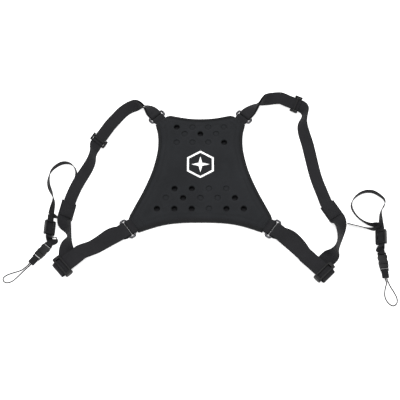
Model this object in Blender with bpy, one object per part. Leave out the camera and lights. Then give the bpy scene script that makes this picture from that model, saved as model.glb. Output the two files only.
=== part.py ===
"""Chest harness for binoculars, laid out flat with its pad underside down.

A perforated pad carries a ring at each corner.  A shoulder strap leaves each upper ring and a side
strap leaves each lower ring; both are doubled back through a slider and meet in a stitched joint
in front of the arm.  A narrow tether with a slider, a small side-release buckle and a thin cord
loop is sewn to each joint.

Units are metres, +Z is up, and the origin is the middle of the pad's flat underside.
+X is the wearer's right when the pad's outer face is seen from above, +Y is towards the neck.
"""

import math

import bmesh
import bpy
from mathutils import Matrix, Vector

MM = 0.001
UP = Vector((0, 0, 1))

# --- Driving dimensions -------------------------------------------------------------------------
GAP = 0.3 * MM                    # clearance between neighbouring pieces
FLOOR = 0.2 * MM                  # lowest point of a strap that lies loose

# Webbing
SHOULDER_WIDTH = 20 * MM
SIDE_WIDTH = 25 * MM
TETHER_WIDTH = 10 * MM
WEBBING = 1.4 * MM                # thickness of the shoulder and side straps
TAPE = 1.0 * MM                   # thickness of the tether tape
LAYER_PITCH = 1.8 * MM            # between the middles of two straps that lie on each other
TAPE_PITCH = 1.3 * MM             # between the middles of two tapes in a slider
SECTION_STEP = 6 * MM             # spacing of a strap's cross-sections,
TAPE_STEP = 5 * MM
TWIST_STEP = math.radians(12)     # and the most that a strap turns from one section to the next
LAY_STEP = 2 * MM                 # spacing at which a strap's lie is worked out
WEBBING_EASE, TAPE_EASE = 14, 6   # how many times a strap's free parts are relaxed

# Pad: lining, foam and face, with a binding that wraps the edge
LINING_TOP = 1.2 * MM
FOAM_BOTTOM, FOAM_TOP = 1.5 * MM, 6.5 * MM
FACE_BOTTOM, FACE_TOP = 6.8 * MM, 8.0 * MM
BINDING_WEB = 1.0 * MM            # thickness of the binding round the edge
BINDING_LIP = 8.0 * MM            # how far it reaches in over the face and the lining
BINDING_SKIN = 0.9 * MM
BINDING_TOP = 9.2 * MM
FOAM_CORNER_CUT = 23 * MM         # the foam stops this far short of each corner, where a tab is sewn in
HOLE_RADIUS = 4.8 * MM
HOLE_SIDES = 10
# rows of vent holes: (y, how many)
UPPER_HOLES, UPPER_PITCH = [(78.5, 4), (65.5, 3), (49.5, 4)], 26 * MM
LOWER_HOLES, LOWER_PITCH = [(-35.5, 4), (-52.0, 5), (-71.0, 6)], 27.5 * MM

# Emblem: a hexagonal outline round a four-pointed star
EMBLEM_Y = 8 * MM
EMBLEM_RADIUS = 25 * MM
EMBLEM_LINE = 3.6 * MM
STAR_POINT, STAR_WAIST = 14.5 * MM, 4.2 * MM
EMBLEM_HEIGHT = 0.8 * MM

# Rings: a round wire bent to a rectangle
WIRE_RADIUS = 1.8 * MM
RING_BAR = 4.4 * MM               # from the ring's middle to each long bar
RING_CORNER = 2.6 * MM
RING_HEIGHT = 4.6 * MM            # of the wire's axis above the floor
RING_END_GAP = 1.9 * MM           # between a strap's edge and the short bar
STRAP_FOLD = 3.5 * MM             # radius of the strap's middle where it turns round the ring
TAB_FOLD = 2.8 * MM
TAB_SOFT_Z = 0.9 * MM             # half the spacing of a tab's legs inside the pad

# Sliders of the main straps
SLIDER_LENGTH = 13 * MM
SLOT_SIDE = 0.6 * MM              # between a strap's edge and the rail
SLOT_HALF = 2.0 * MM              # half the height between the centre bar and the outer bars
SLIDER_BAR = 2.0 * MM             # thickness of a bar
BAR_WIDTH = 2.8 * MM
SHOULDER_RAIL = 3.2 * MM
SIDE_RAIL = 4.6 * MM
TURN_BACK = 7.5 * MM              # from a side slider's middle to where the strap turns back under it
TAIL = 6 * MM                     # how far a strap's sewn end reaches beyond the slider's middle

# Sliders of the tethers
TETHER_SLIDER_LENGTH = 24 * MM
TETHER_SLOT_HALF = 2.1 * MM
TETHER_BAR = 1.5 * MM
TETHER_RAIL = 2.6 * MM

# Buckle, measured along it from the socket's webbing bar
BUCKLE_WIDTH = 14.5 * MM
BUCKLE_THICKNESS = 5.4 * MM
BUCKLE_HEIGHT = 3.1 * MM          # of its middle above the floor
PIN_RADIUS = 1.0 * MM             # of the two webbing bars
PIN_FOLD = 1.8 * MM               # radius of the tape's middle round a webbing bar
SOCKET_START, SOCKET_END = 3.4 * MM, 18.0 * MM
PLUG_START, PLUG_END = 18.4 * MM, 24.2 * MM
PLUG_PIN = 27.8 * MM
TAB_END = 40 * MM
TAB_LEG = 1.75 * MM               # half the spacing of the tab's two legs

CORD_RADIUS = 0.9 * MM


# --- Frames and sections ------------------------------------------------------------------------
class Frame:
    """A place on a strap: X runs along it, Y across it and Z out of its face."""

    def __init__(self, x, y, z, heading, roll=0.0, pitch=0.0):
        heading, roll, pitch = (math.radians(angle) for angle in (heading, roll, pitch))
        self.origin = Vector((x, y, z)) * MM
        flat = Vector((math.cos(heading), math.sin(heading), 0))
        self.x = flat * math.cos(pitch) + UP * math.sin(pitch)
        level = UP.cross(flat)
        self.y = level * math.cos(roll) + self.x.cross(level) * math.sin(roll)
        self.z = self.x.cross(self.y)

    def at(self, along, across=0.0, out=0.0):
        return self.origin + self.x * along + self.y * across + self.z * out

    def section(self, along, out=0.0, gap=LAYER_PITCH):
        return Section(self.at(along, 0, out), self.y, gap, held=True)

    def matrix(self):
        columns = Matrix((self.x, self.y, self.z)).transposed().to_4x4()
        return Matrix.Translation(self.origin) @ columns


class Section:
    """One cross-section of a strap: its middle, its direction across, and for a doubled strap the
    spacing of the two layers and how far the back layer is shifted sideways.  A held section stays
    where it is when the strap is relaxed."""

    def __init__(self, centre, across, gap=LAYER_PITCH, shift=0.0, held=False):
        self.centre, self.across, self.gap, self.shift = centre, across.normalized(), gap, shift
        self.held = held

    def packed(self):
        return [*self.centre, *self.across, self.gap, self.shift]


def laid(route, width, half_pack):
    """Turn a route into sections.  A free point is (x, y, roll, lift, gap, shift) in millimetres and
    degrees: the strap rests on the floor on whichever edge its roll puts lowest, plus its lift."""
    centres = []
    for point in route:
        if isinstance(point, Section):
            centres.append(point.centre)
            continue
        roll = math.radians(point[2])
        lift = point[3] * MM if len(point) > 3 else GAP
        height = lift + width / 2 * abs(math.sin(roll)) + half_pack * abs(math.cos(roll))
        centres.append(Vector((point[0] * MM, point[1] * MM, height)))
    sections = []
    for i, point in enumerate(route):
        if isinstance(point, Section):
            section = Section(point.centre, point.across, point.gap, point.shift, point.held)
        else:
            ahead = centres[min(i + 1, len(route) - 1)] - centres[max(i - 1, 0)]
            level = UP.cross(ahead).normalized()
            roll = math.radians(point[2])
            across = level * math.cos(roll) + ahead.normalized().cross(level) * math.sin(roll)
            gap = point[4] * MM if len(point) > 4 else LAYER_PITCH
            shift = point[5] * MM if len(point) > 5 else 0.0
            section = Section(centres[i], across, gap, shift)
        if sections and section.across.dot(sections[-1].across) < 0:
            section.across = -section.across
        sections.append(section)
    return sections


def smoothed(sections, step, before=None, after=None):
    """A centripetal Catmull-Rom curve through the sections, sampled about every step.  before and
    after are neighbours that only set the direction of the two ends."""
    points = [section.packed() for section in sections]
    first = before.packed() if before else [2 * a - b for a, b in zip(points[0], points[1])]
    last = after.packed() if after else [2 * a - b for a, b in zip(points[-1], points[-2])]
    points = [first] + points + [last]
    samples, held, straight = [], [], True
    for i in range(1, len(points) - 2):
        four = points[i - 1:i + 3]
        knots = [0.0]
        for a, b in zip(four, four[1:]):
            knots.append(knots[-1] + math.sqrt(max(math.dist(a[:3], b[:3]), 1e-5)))
        count = max(1, round(math.dist(four[1][:3], four[2][:3]) / step))
        before_here, straight = straight, sections[i - 1].held and sections[i].held
        for k in range(count):
            samples.append(catmull_rom(four, knots, k / count))
            held.append(straight and before_here if k == 0 and i > 1 else straight or k == 0)
    samples.append(points[-2])
    held.append(True)
    return [Section(Vector(s[:3]), Vector(s[3:6]), s[6], s[7], keep) for s, keep in zip(samples, held)]


def eased(sections, rounds):
    """The sections after a strap has settled: each round moves every free one half way to the
    middle of its neighbours, which takes out the sideways bends that webbing can't make."""
    points = [Vector(section.packed()) for section in sections]
    for _ in range(rounds):
        middles = [(a + b) / 2 for a, b in zip(points, points[2:])]
        for i, middle in enumerate(middles, 1):
            if not sections[i].held:
                points[i] = (points[i] + middle) / 2
    return squared([Section(Vector(p[:3]), Vector(p[3:6]), p[6], p[7], s.held)
                    for p, s in zip(points, sections)])


def squared(sections):
    """The sections, each turned square to the strap."""
    result = []
    for section, (along, out) in zip(sections, facing(sections)):
        result.append(Section(section.centre, out.cross(along), section.gap, section.shift, section.held))
    return result


def thinned(sections, step):
    """Only the sections that the shape needs: one every step, or sooner where the strap turns."""
    kept, run, facings = [sections[0]], 0.0, facing(sections)
    last = facings[0]
    for i in range(1, len(sections) - 1):
        run += (sections[i].centre - sections[i - 1].centre).length
        turn = max(last[k].angle(facings[i + 1][k]) for k in range(2))
        if run > step * 0.99 or turn > TWIST_STEP:
            kept.append(sections[i])
            run, last = 0.0, facings[i]
    return kept + [sections[-1]]


def facing(sections):
    """The direction along the strap and the one out of its face, at each section."""
    return [(along, along.cross(section.across).normalized())
            for section, along in zip(sections, directions(sections))]


def catmull_rom(four, knots, fraction):
    at = knots[1] + (knots[2] - knots[1]) * fraction

    def mix(p, q, low, high):
        return [(a * (high - at) + b * (at - low)) / (high - low) for a, b in zip(p, q)]

    first = [mix(four[i], four[i + 1], knots[i], knots[i + 1]) for i in range(3)]
    second = [mix(first[i], first[i + 1], knots[i], knots[i + 2]) for i in range(2)]
    return mix(second[0], second[1], knots[1], knots[2])


def rested(sections, width, half_pack):
    """The sections, each raised where its lower edge would reach under the floor."""
    result = []
    for section, along in zip(sections, directions(sections)):
        out = along.cross(section.across)
        reach = width / 2 * abs(section.across.z) + half_pack * abs(out.z)
        rise = max(0.0, FLOOR + reach - section.centre.z)
        result.append(Section(section.centre + UP * rise, section.across, section.gap, section.shift,
                              section.held))
    return result


def directions(sections):
    """The direction along the strap at each section."""
    found = []
    for i in range(len(sections)):
        ahead = sections[min(i + 1, len(sections) - 1)].centre - sections[max(i - 1, 0)].centre
        found.append(ahead.normalized())
    return found


def layer(sections, side):
    """One layer of a doubled strap: side is +1 for the front layer and -1 for the back one."""
    result = []
    for section, along in zip(sections, directions(sections)):
        out = along.cross(section.across).normalized()
        centre = section.centre + out * (side * section.gap / 2)
        if side < 0:
            centre = centre + section.across * section.shift
        result.append(Section(centre, section.across))
    return result


def turned(frame, along, out, radius, start, end, steps=7):
    """Sections round a bar across the frame; angles run from +X (0) towards +Z (90)."""
    result = []
    for i in range(steps + 1):
        angle = math.radians(start + (end - start) * i / steps)
        centre = frame.at(along + radius * math.cos(angle), 0, out + radius * math.sin(angle))
        result.append(Section(centre, frame.y, held=True))
    return result


# --- Blender helpers ----------------------------------------------------------------------------
def clear_scene():
    for item in list(bpy.data.objects):
        bpy.data.objects.remove(item, do_unlink=True)


def collection(name):
    made = bpy.data.collections.new(name)
    bpy.context.scene.collection.children.link(made)
    return made


def material(name, colour, roughness, metallic=0.0):
    made = bpy.data.materials.new(name)
    made.use_nodes = True
    shader = made.node_tree.nodes["Principled BSDF"]
    shader.inputs["Base Color"].default_value = (*colour, 1)
    shader.inputs["Roughness"].default_value = roughness
    shader.inputs["Metallic"].default_value = metallic
    return made


def add_object(name, bm, look, frame=None, smooth_angle=None):
    mesh = bpy.data.meshes.new(name)
    bmesh.ops.recalc_face_normals(bm, faces=bm.faces)
    bm.to_mesh(mesh)
    bm.free()
    mesh.materials.append(look)
    made = bpy.data.objects.new(name, mesh)
    PARTS.objects.link(made)
    if frame:
        made.matrix_world = frame.matrix()
    if smooth_angle:
        mesh.shade_smooth()
        mesh.set_sharp_from_angle(angle=math.radians(smooth_angle))
    return made


RIBBON_PROFILE = [(-1, -1), (0, -1), (1, -1), (1, 1), (0, 1), (-1, 1)]


def ribbon(name, sections, width, thickness, look, origin=None):
    """A strap: a flat rectangle lofted through its sections."""
    bm = bmesh.new()
    rings = []
    sections = rested(sections, width, thickness / 2)
    for section, along in zip(sections, directions(sections)):
        out = along.cross(section.across).normalized() * (thickness / 2)
        across = section.across * (width / 2)
        corners = [section.centre + across * u + out * v for u, v in RIBBON_PROFILE]
        rise = max(0.0, FLOOR - min(corner.z for corner in corners))
        rings.append([bm.verts.new(corner + UP * rise) for corner in corners])
    for near, far in zip(rings, rings[1:]):
        for i, j in zip(range(len(near)), [*range(1, len(near)), 0]):
            bm.faces.new((near[i], near[j], far[j], far[i]))
    bm.faces.new(rings[0])
    bm.faces.new(reversed(rings[-1]))
    made = add_object(name, bm, look)
    if origin:
        move_origin(made, origin)
    return made


def move_origin(made, origin):
    made.data.transform(Matrix.Translation(-origin))
    made.location = origin


def cuboid(low, high, bevel=0.0):
    """A box between two corners, its edges bevelled."""
    bm = bmesh.new()
    bmesh.ops.create_cube(bm, size=1)
    size = Vector(high) - Vector(low)
    bmesh.ops.scale(bm, vec=size, verts=bm.verts)
    bmesh.ops.translate(bm, vec=(Vector(high) + Vector(low)) / 2, verts=bm.verts)
    if bevel:
        bmesh.ops.bevel(bm, geom=bm.edges[:], offset=bevel, segments=1, affect="EDGES")
    return bm


def rod(radius, start, end, sides=8):
    """A round bar along Y."""
    bm = bmesh.new()
    bmesh.ops.create_cone(bm, cap_ends=True, segments=sides, radius1=radius, radius2=radius,
                          depth=end - start)
    turn = Matrix.Rotation(math.radians(90), 3, "X") @ Matrix.Rotation(math.radians(22.5), 3, "Z")
    bmesh.ops.rotate(bm, matrix=turn, verts=bm.verts)
    bmesh.ops.translate(bm, vec=(0, (start + end) / 2, 0), verts=bm.verts)
    return bm


def moved(bm, x=0.0, y=0.0, z=0.0):
    bmesh.ops.translate(bm, vec=(x, y, z), verts=bm.verts)
    return bm


def shaped(name, base, look, frame, add=(), cut=()):
    """Join and cut solids, all given in the frame's own directions, into one piece."""
    made = add_object(name, base, look, frame)
    for operation, solids in (("UNION", add), ("DIFFERENCE", cut)):
        for number, solid in enumerate(solids):
            tool = add_object(f"{name}_{operation.lower()}_{number}", solid, look, frame)
            PARTS.objects.unlink(tool)
            CUTTERS.objects.link(tool)
            tool.hide_render = True
            tool.display_type = "WIRE"
            modifier = made.modifiers.new(tool.name, "BOOLEAN")
            modifier.operation = operation
            modifier.solver = "EXACT"
            modifier.object = tool
    return made


def plate(name, outlines, bottom, top, look):
    """A flat sheet: the first outline is its edge and the others are holes."""
    curve = bpy.data.curves.new(name, "CURVE")
    curve.dimensions = "2D"
    curve.fill_mode = "BOTH"
    curve.extrude = (top - bottom) / 2
    for outline in outlines:
        spline = curve.splines.new("POLY")
        spline.points.add(len(outline) - 1)
        spline.use_cyclic_u = True
        for point, place in zip(spline.points, outline):
            point.co = (place.x, place.y, 0, 1)
    shape = bpy.data.objects.new(name + "_outline", curve)
    PARTS.objects.link(shape)
    bpy.context.view_layer.update()
    evaluated = shape.evaluated_get(bpy.context.evaluated_depsgraph_get())
    bm = bmesh.new()
    bm.from_mesh(bpy.data.meshes.new_from_object(evaluated))
    bmesh.ops.remove_doubles(bm, verts=bm.verts, dist=0.0001 * MM)
    bmesh.ops.translate(bm, vec=(0, 0, (top + bottom) / 2), verts=bm.verts)
    bpy.data.objects.remove(shape, do_unlink=True)
    return add_object(name, bm, look)


def tube(name, points, radius, look, cyclic=False, origin=None):
    """A round wire or cord along the points."""
    curve = bpy.data.curves.new(name, "CURVE")
    curve.dimensions = "3D"
    curve.bevel_depth = radius
    curve.bevel_resolution = 2
    curve.use_fill_caps = True
    spline = curve.splines.new("POLY")
    spline.points.add(len(points) - 1)
    spline.use_cyclic_u = cyclic
    base = origin or Vector((0, 0, 0))
    for point, place in zip(spline.points, points):
        point.co = (*(place - base), 1)
    curve.materials.append(look)
    made = bpy.data.objects.new(name, curve)
    made.location = base
    PARTS.objects.link(made)
    return made


# --- Pad ----------------------------------------------------------------------------------------
# one half of each edge, in millimetres; the other half is its mirror image
TOP_EDGE = [(0, 95.5), (23, 97), (39, 100), (49, 102), (56, 102)]
RIGHT_EDGE = [(75, 84), (71.5, 73), (69.5, 56), (70.5, 34), (77.5, 0), (90, -34.5), (104, -65),
              (114, -86)]
BOTTOM_EDGE = [(96.5, -110.5), (84, -105.5), (58, -97.5), (34, -94), (0, -93)]


def curve_through(points, step=7):
    """A smooth line through points in millimetres, as vectors in metres."""
    flat = [Section(Vector((x * MM, y * MM, 0)), UP) for x, y in points]
    return [section.centre.xy for section in smoothed(flat, step * MM)]


def pad_edges():
    """The four edges in order round the pad, anticlockwise from the bottom left corner."""
    bottom = [(-x, y) for x, y in BOTTOM_EDGE] + BOTTOM_EDGE[-2::-1]
    right = RIGHT_EDGE[::-1]
    top = TOP_EDGE[::-1] + [(-x, y) for x, y in TOP_EDGE[1:]]
    left = [(-x, y) for x, y in RIGHT_EDGE]
    return {name: curve_through(points) for name, points in
            (("bottom", bottom), ("right", right), ("top", top), ("left", left))}


def inward(edge):
    """The direction into the pad at each point of an edge."""
    found = []
    for i in range(len(edge)):
        ahead = edge[min(i + 1, len(edge) - 1)] - edge[max(i - 1, 0)]
        found.append(Vector((-ahead.y, ahead.x)).normalized())
    return found


def pad_outline(edges, inset, corners=(), cut=0.0):
    """The pad's outline moved inwards, without the part of each corner beyond the cut."""
    outline = []
    for edge in edges.values():
        for point, into in zip(edge, inward(edge)):
            place = point + into * inset
            reach = [(place - corner.origin.xy).dot(corner.x.xy) for corner in corners]
            if all(distance < -cut for distance in reach):
                outline.append(place)
    return outline


def hole_centres():
    for rows, pitch in ((UPPER_HOLES, UPPER_PITCH), (LOWER_HOLES, LOWER_PITCH)):
        for y, count in rows:
            for i in range(count):
                yield Vector(((i - (count - 1) / 2) * pitch, y * MM))


def regular_polygon(centre, radius, sides, turn=0.0):
    angles = [math.radians(turn) + 2 * math.pi * i / sides for i in range(sides)]
    return [centre + radius * Vector((math.cos(a), math.sin(a))) for a in angles]


def make_pad(corners):
    edges = pad_edges()
    holes = [regular_polygon(centre, HOLE_RADIUS, HOLE_SIDES) for centre in hole_centres()]
    inset = BINDING_WEB + GAP
    plate("pad_lining", [pad_outline(edges, BINDING_LIP + GAP)], 0, LINING_TOP, LINING)
    foam_edge = pad_outline(edges, inset, corners, RING_BAR + FOAM_CORNER_CUT)
    plate("pad_foam", [foam_edge] + holes, FOAM_BOTTOM, FOAM_TOP, FOAM)
    plate("pad_face", [pad_outline(edges, inset)] + holes, FACE_BOTTOM, FACE_TOP, FACE)
    for name, edge in edges.items():
        make_binding(f"pad_binding_{name}", edge)
    make_emblem()


def make_binding(name, edge):
    """A strip of binding wrapped round one edge: a C-shaped section lofted along it."""
    low_lip, high_lip = BINDING_SKIN, BINDING_TOP - BINDING_SKIN
    profile = [(0, 0), (BINDING_LIP, 0), (BINDING_LIP, low_lip), (BINDING_WEB, low_lip),
               (BINDING_WEB, high_lip), (BINDING_LIP, high_lip), (BINDING_LIP, BINDING_TOP),
               (0, BINDING_TOP)]
    bm = bmesh.new()
    rings = []
    for point, into in zip(edge, inward(edge)):
        rings.append([bm.verts.new((*(point + into * reach), height)) for reach, height in profile])
    count = len(profile)
    for near, far in zip(rings, rings[1:]):
        for i in range(count):
            bm.faces.new((near[i], near[(i + 1) % count], far[(i + 1) % count], far[i]))
    bm.faces.new(rings[0])
    bm.faces.new(reversed(rings[-1]))
    add_object(name, bm, BINDING)


def make_emblem():
    centre = Vector((0, EMBLEM_Y))
    bottom = FACE_TOP + GAP
    outer = regular_polygon(centre, EMBLEM_RADIUS, 6, 30)
    inner = regular_polygon(centre, EMBLEM_RADIUS - EMBLEM_LINE, 6, 30)
    plate("emblem_outline", [outer, inner], bottom, bottom + EMBLEM_HEIGHT, PRINT)
    points = regular_polygon(centre, STAR_POINT, 4)
    waists = regular_polygon(centre, STAR_WAIST, 4, 45)
    star = [corner for pair in zip(points, waists) for corner in pair]
    plate("emblem_star", [star], bottom, bottom + EMBLEM_HEIGHT, PRINT)


# --- Rings and tabs -----------------------------------------------------------------------------
def make_ring(name, frame, strap_width):
    """A rectangular wire ring; its origin is on the bar that the pad's tab holds."""
    half = strap_width / 2 + RING_END_GAP + WIRE_RADIUS
    points = []
    for x, y, start in ((1, 1, 0), (-1, 1, 90), (-1, -1, 180), (1, -1, 270)):
        for i in range(4):
            angle = math.radians(start + 30 * i)
            along = x * (RING_BAR - RING_CORNER) + RING_CORNER * math.cos(angle)
            across = y * (half - RING_CORNER) + RING_CORNER * math.sin(angle)
            points.append(frame.at(along, across))
    tube(name, points, WIRE_RADIUS, METAL, cyclic=True, origin=frame.at(-RING_BAR))


def make_ring_tab(name, frame, width):
    """A loop of webbing, sewn between the pad's layers, that holds the ring's inner bar."""
    tail, bend = RING_BAR + 19 * MM, RING_BAR + 6 * MM
    fold = turned(frame, -RING_BAR, 0, TAB_FOLD, -90, 90)
    low = [frame.section(-tail, -TAB_SOFT_Z), frame.section(-bend - 5 * MM, -TAB_SOFT_Z),
           frame.section(-bend, -TAB_SOFT_Z)]
    high = [frame.section(-bend, TAB_SOFT_Z), frame.section(-bend - 5 * MM, TAB_SOFT_Z),
            frame.section(-tail, TAB_SOFT_Z)]
    start = smoothed(low + fold[:1], SECTION_STEP, after=fold[1])
    end = smoothed(fold[-1:] + high, SECTION_STEP, before=fold[-2])
    ribbon(name, start + fold[1:-1] + end, width, WEBBING, TAB)


# --- Sliders ------------------------------------------------------------------------------------
def make_slider(name, frame, strap_width, length, slot_half, bar, bar_width, rail):
    """A three-bar slider: two outer bars over the webbing and a centre bar under it."""
    inner = strap_width / 2 + SLOT_SIDE
    outer = inner + rail
    tall = slot_half + bar
    edge = 0.5 * MM
    ends = inner + rail / 2
    rails = [cuboid((-length / 2, side * inner, -tall), (length / 2, side * outer, tall), edge)
             for side in (1, -1)]
    bars = [cuboid((x - bar_width / 2, -ends, low), (x + bar_width / 2, ends, low + bar))
            for x, low in ((length / 2 - bar_width / 2 - edge, slot_half),
                           (-length / 2 + bar_width / 2 + edge, slot_half), (0, -tall))]
    return shaped(name, rails[0], PLASTIC, frame, add=[rails[1]] + bars)


# --- Main straps --------------------------------------------------------------------------------
def doubled(frame_ring, frame_slider, route, width, run):
    """The middle of a doubled strap, from the ring's outer bar to the slider."""
    half_pack = (LAYER_PITCH + WEBBING) / 2
    at_ring = [frame_ring.section(RING_BAR, gap=2 * STRAP_FOLD),
               frame_ring.section(RING_BAR + 6 * MM, gap=5.2 * MM)]
    count = max(2, round(run / (12 * MM)))
    at_slider = [frame_slider.section(-run * (count - i) / count) for i in range(count + 1)]
    sections = laid(at_ring + route + at_slider, width, half_pack)
    before = frame_ring.section(RING_BAR - 5 * MM, gap=2 * STRAP_FOLD)
    middle = eased(smoothed(sections, LAY_STEP, before=before), WEBBING_EASE)
    return rested(thinned(middle, SECTION_STEP), width, half_pack)


def strap_path(middle, frame_ring, frame_slider, tail, single, width):
    """Tail, back layer, fold round the ring, front layer, and the single run to the joint."""
    fold = turned(frame_ring, RING_BAR, 0, STRAP_FOLD, -90, -270, steps=8)
    back = layer(middle, -1)[::-1]
    front = layer(middle, 1)
    tail_end = frame_slider.section(tail, -LAYER_PITCH / 2)
    run = laid([front[-1]] + single, width, WEBBING / 2)
    last = thinned(eased(smoothed(run, LAY_STEP, before=front[-2]), WEBBING_EASE), SECTION_STEP)
    return [tail_end] + back + fold[1:-1] + front + last[1:]


# --- Tethers ------------------------------------------------------------------------------------
def make_buckle(side, frame):
    """Socket, plug, folded tab: X runs from the socket's webbing bar to the cord loop."""
    half_width, half_thick = BUCKLE_WIDTH / 2, BUCKLE_THICKNESS / 2
    slot = TETHER_WIDTH / 2 + 0.4 * MM
    edge = 0.6 * MM
    body = cuboid((SOCKET_START, -half_width, -half_thick), (SOCKET_END, half_width, half_thick), edge)
    posts = [cuboid((-1.2 * MM, y * slot, -1.2 * MM),
                    (SOCKET_START + 1.5 * MM, y * (half_width - edge), 1.2 * MM)) for y in (1, -1)]
    pin = rod(PIN_RADIUS, -slot - 0.8 * MM, slot + 0.8 * MM)
    room = cuboid((6.2 * MM, -5.7 * MM, -1.6 * MM), (SOCKET_END + MM, 5.7 * MM, 1.6 * MM))
    windows = cuboid((8.6 * MM, -9 * MM, -1.6 * MM), (13.6 * MM, 9 * MM, 1.6 * MM))
    shaped(f"{side}_buckle_socket", body, PLASTIC, frame, add=posts + [pin], cut=[room, windows])

    base = cuboid((PLUG_START, -6.6 * MM, -2.4 * MM), (PLUG_END, 6.6 * MM, 2.4 * MM), edge)
    arms = []
    for y in (MM, -MM):
        arms.append(cuboid((9.4 * MM, y * 3.4, -1.2 * MM), (PLUG_START + MM, y * 4.8, 1.2 * MM)))
        arms.append(cuboid((9.4 * MM, y * 4.0, -1.19 * MM), (12.8 * MM, y * 5.3, 1.19 * MM)))
    tongue = cuboid((12 * MM, -MM, -1.1 * MM), (PLUG_START + MM, MM, 1.1 * MM))
    plug_posts = [cuboid((PLUG_END - 1.2 * MM, y * slot, -1.2 * MM),
                         (PLUG_PIN + 1.2 * MM, y * 6.4 * MM, 1.2 * MM)) for y in (1, -1)]
    plug_pin = moved(rod(PIN_RADIUS, -slot - 0.6 * MM, slot + 0.6 * MM), x=PLUG_PIN)
    shaped(f"{side}_buckle_plug", base, PLASTIC, frame, add=arms + [tongue] + plug_posts + [plug_pin])

    fold = turned(frame, PLUG_PIN, 0, PIN_FOLD, 90, 270, steps=6)
    legs = [(TAB_END, TAB_LEG), (PLUG_PIN + 6 * MM, TAB_LEG)]
    top = [frame.section(x, out) for x, out in legs]
    under = [frame.section(x, -out) for x, out in reversed(legs)]
    start = smoothed(top + fold[:1], TAPE_STEP, after=fold[1])
    end = smoothed(fold[-1:] + under, TAPE_STEP, before=fold[-2])
    ribbon(f"{side}_cord_tab", start + fold[1:-1] + end, TETHER_WIDTH, TAPE, TETHER,
           origin=frame.origin)


def make_cord(side, frame, route):
    """The thin cord loop: both ends come out of the tab, side by side."""
    inside, beside = TAB_END - 5 * MM, 1.3 * MM
    ends = [frame.at(inside, y) for y in (-beside, beside)]
    mouths = [frame.at(TAB_END + 2 * MM, y) for y in (-beside, beside)]
    floor = GAP + CORD_RADIUS
    middle = [Vector((x * MM, y * MM, floor)) for x, y in route]
    points = [ends[0], mouths[0]] + middle + [mouths[1], ends[1]]
    path = smoothed([Section(point, UP) for point in points], 2.6 * MM)
    tube(f"{side}_cord_loop", [section.centre for section in path], CORD_RADIUS, CORD,
         origin=frame.origin)


def tape_path(parts):
    """Join stretches of tape: lists of fixed sections, and lists of free points between them."""
    result = []
    for i, part in enumerate(parts):
        if part and isinstance(part[0], Section):
            result += part
            continue
        before = parts[i - 1] if i else None
        after = parts[i + 1] if i + 1 < len(parts) else None
        route = ([before[-1]] if before else []) + part + ([after[0]] if after else [])
        sections = laid(route, TETHER_WIDTH, TAPE / 2)
        run = smoothed(sections, LAY_STEP, before=before[-2] if before else None,
                       after=after[1] if after else None)
        result += run[1 if before else 0:-1 if after else None]
    return thinned(eased(result, TAPE_EASE), TAPE_STEP)


def through(frame, out, start, end, count=3):
    """Straight sections through a slider, from one distance along it to another."""
    return [frame.section(start + (end - start) * i / count, out) for i in range(count + 1)]


# --- The two sides ------------------------------------------------------------------------------
# Routes are laid by hand in millimetres.  Main straps: (x, y, roll, lift, gap, shift).

CORNERS = {
    "left_upper": Frame(-72.7, 100.5, 4.6, 131.3),
    "right_upper": Frame(72.7, 100.5, 4.6, 48.7),
    "left_lower": Frame(-114, -104.3, 4.6, 215.6),
    "right_lower": Frame(114, -104.3, 4.6, -35.6),
}

LEFT = {
    "shoulder_slider": Frame(-166.5, 52.5, 9.8, 239.3, roll=155),
    "side_slider": Frame(-211.5, -167.8, 6.7, 221),
    "joint": Frame(-210, -72, 8.6, 259, roll=-30),
    "shoulder_doubled": [(-88.5, 115.5, 38, 0.3, 3.6), (-97.5, 119.5, 76, 0.3, 3.2),
                         (-107, 120.5, 120, 0.3, 3.0), (-116, 119.5, 152, 0.3, 2.6),
                         (-124, 116, 168, 0.3, 2.0), (-131, 109, 162, 0.3, 1.8),
                         (-138.5, 98.5, 156)],
    "shoulder_straight": 34 * MM,
    "shoulder_run": [(-174.5, 31, 110), (-177, 15, 128), (-185, -2.5, 144), (-194, -21, 148, 2.5),
                     (-202, -41, 149, 3.0)],
    "side_doubled": [(-134, -115.5, 0, 0.3, 2.0, -5), (-152, -126.5, 0, 0.3, 2.0, -3),
                     (-168, -136, 0, 0.6, 2.0, -1)],
    "side_straight": 38 * MM,
    "side_under": [(-209, -160.5, 0), (-207, -151, 0), (-208.3, -142.5, 0)],
    "side_run": [(-207.5, -132.5, -26), (-204, -120.5, -68), (-205.3, -107.5, -64),
                 (-210, -98.5, -44)],
}

RIGHT = {
    "shoulder_slider": Frame(160.5, 121.9, 9.8, -25, roll=-155),
    "side_slider": Frame(189.5, -177.5, 6.7, -45.4),
    "joint": Frame(207.5, -72, 4.6, -60, roll=10),
    "shoulder_doubled": [(86.5, 114, -22, 0.3, 3.6), (95, 121, -55, 0.3, 3.2),
                         (103.5, 127.5, -92, 0.3, 3.0), (112.5, 132.5, -128, 0.3, 2.8),
                         (122, 134.5, -150, 1.5, 2.4)],
    "shoulder_straight": 30 * MM,
    "shoulder_run": [(175.5, 112, -132), (174.5, 102, -112), (169, 87, -135), (171, 70, -155),
                     (176, 50, -165), (181.5, 18, -175), (187, -12, 180), (192, -30, 182),
                     (198, -50, 186)],
    "side_doubled": [(133, -118.5, 0, 0.3, 2.0, 6), (149, -134, 0, 0.6, 2.0, 5)],
    "side_straight": 40 * MM,
    "side_under": [(186.8, -173.5, 0), (187.2, -165.5, 0), (191.8, -158, 0), (198.5, -152.8, 10)],
    "side_run": [(205.8, -149, 44), (210.5, -142, 76), (214, -132, 76),
                 (216.8, -119, 64), (218.3, -107.5, 48), (218.8, -98, 28)],
}

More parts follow.
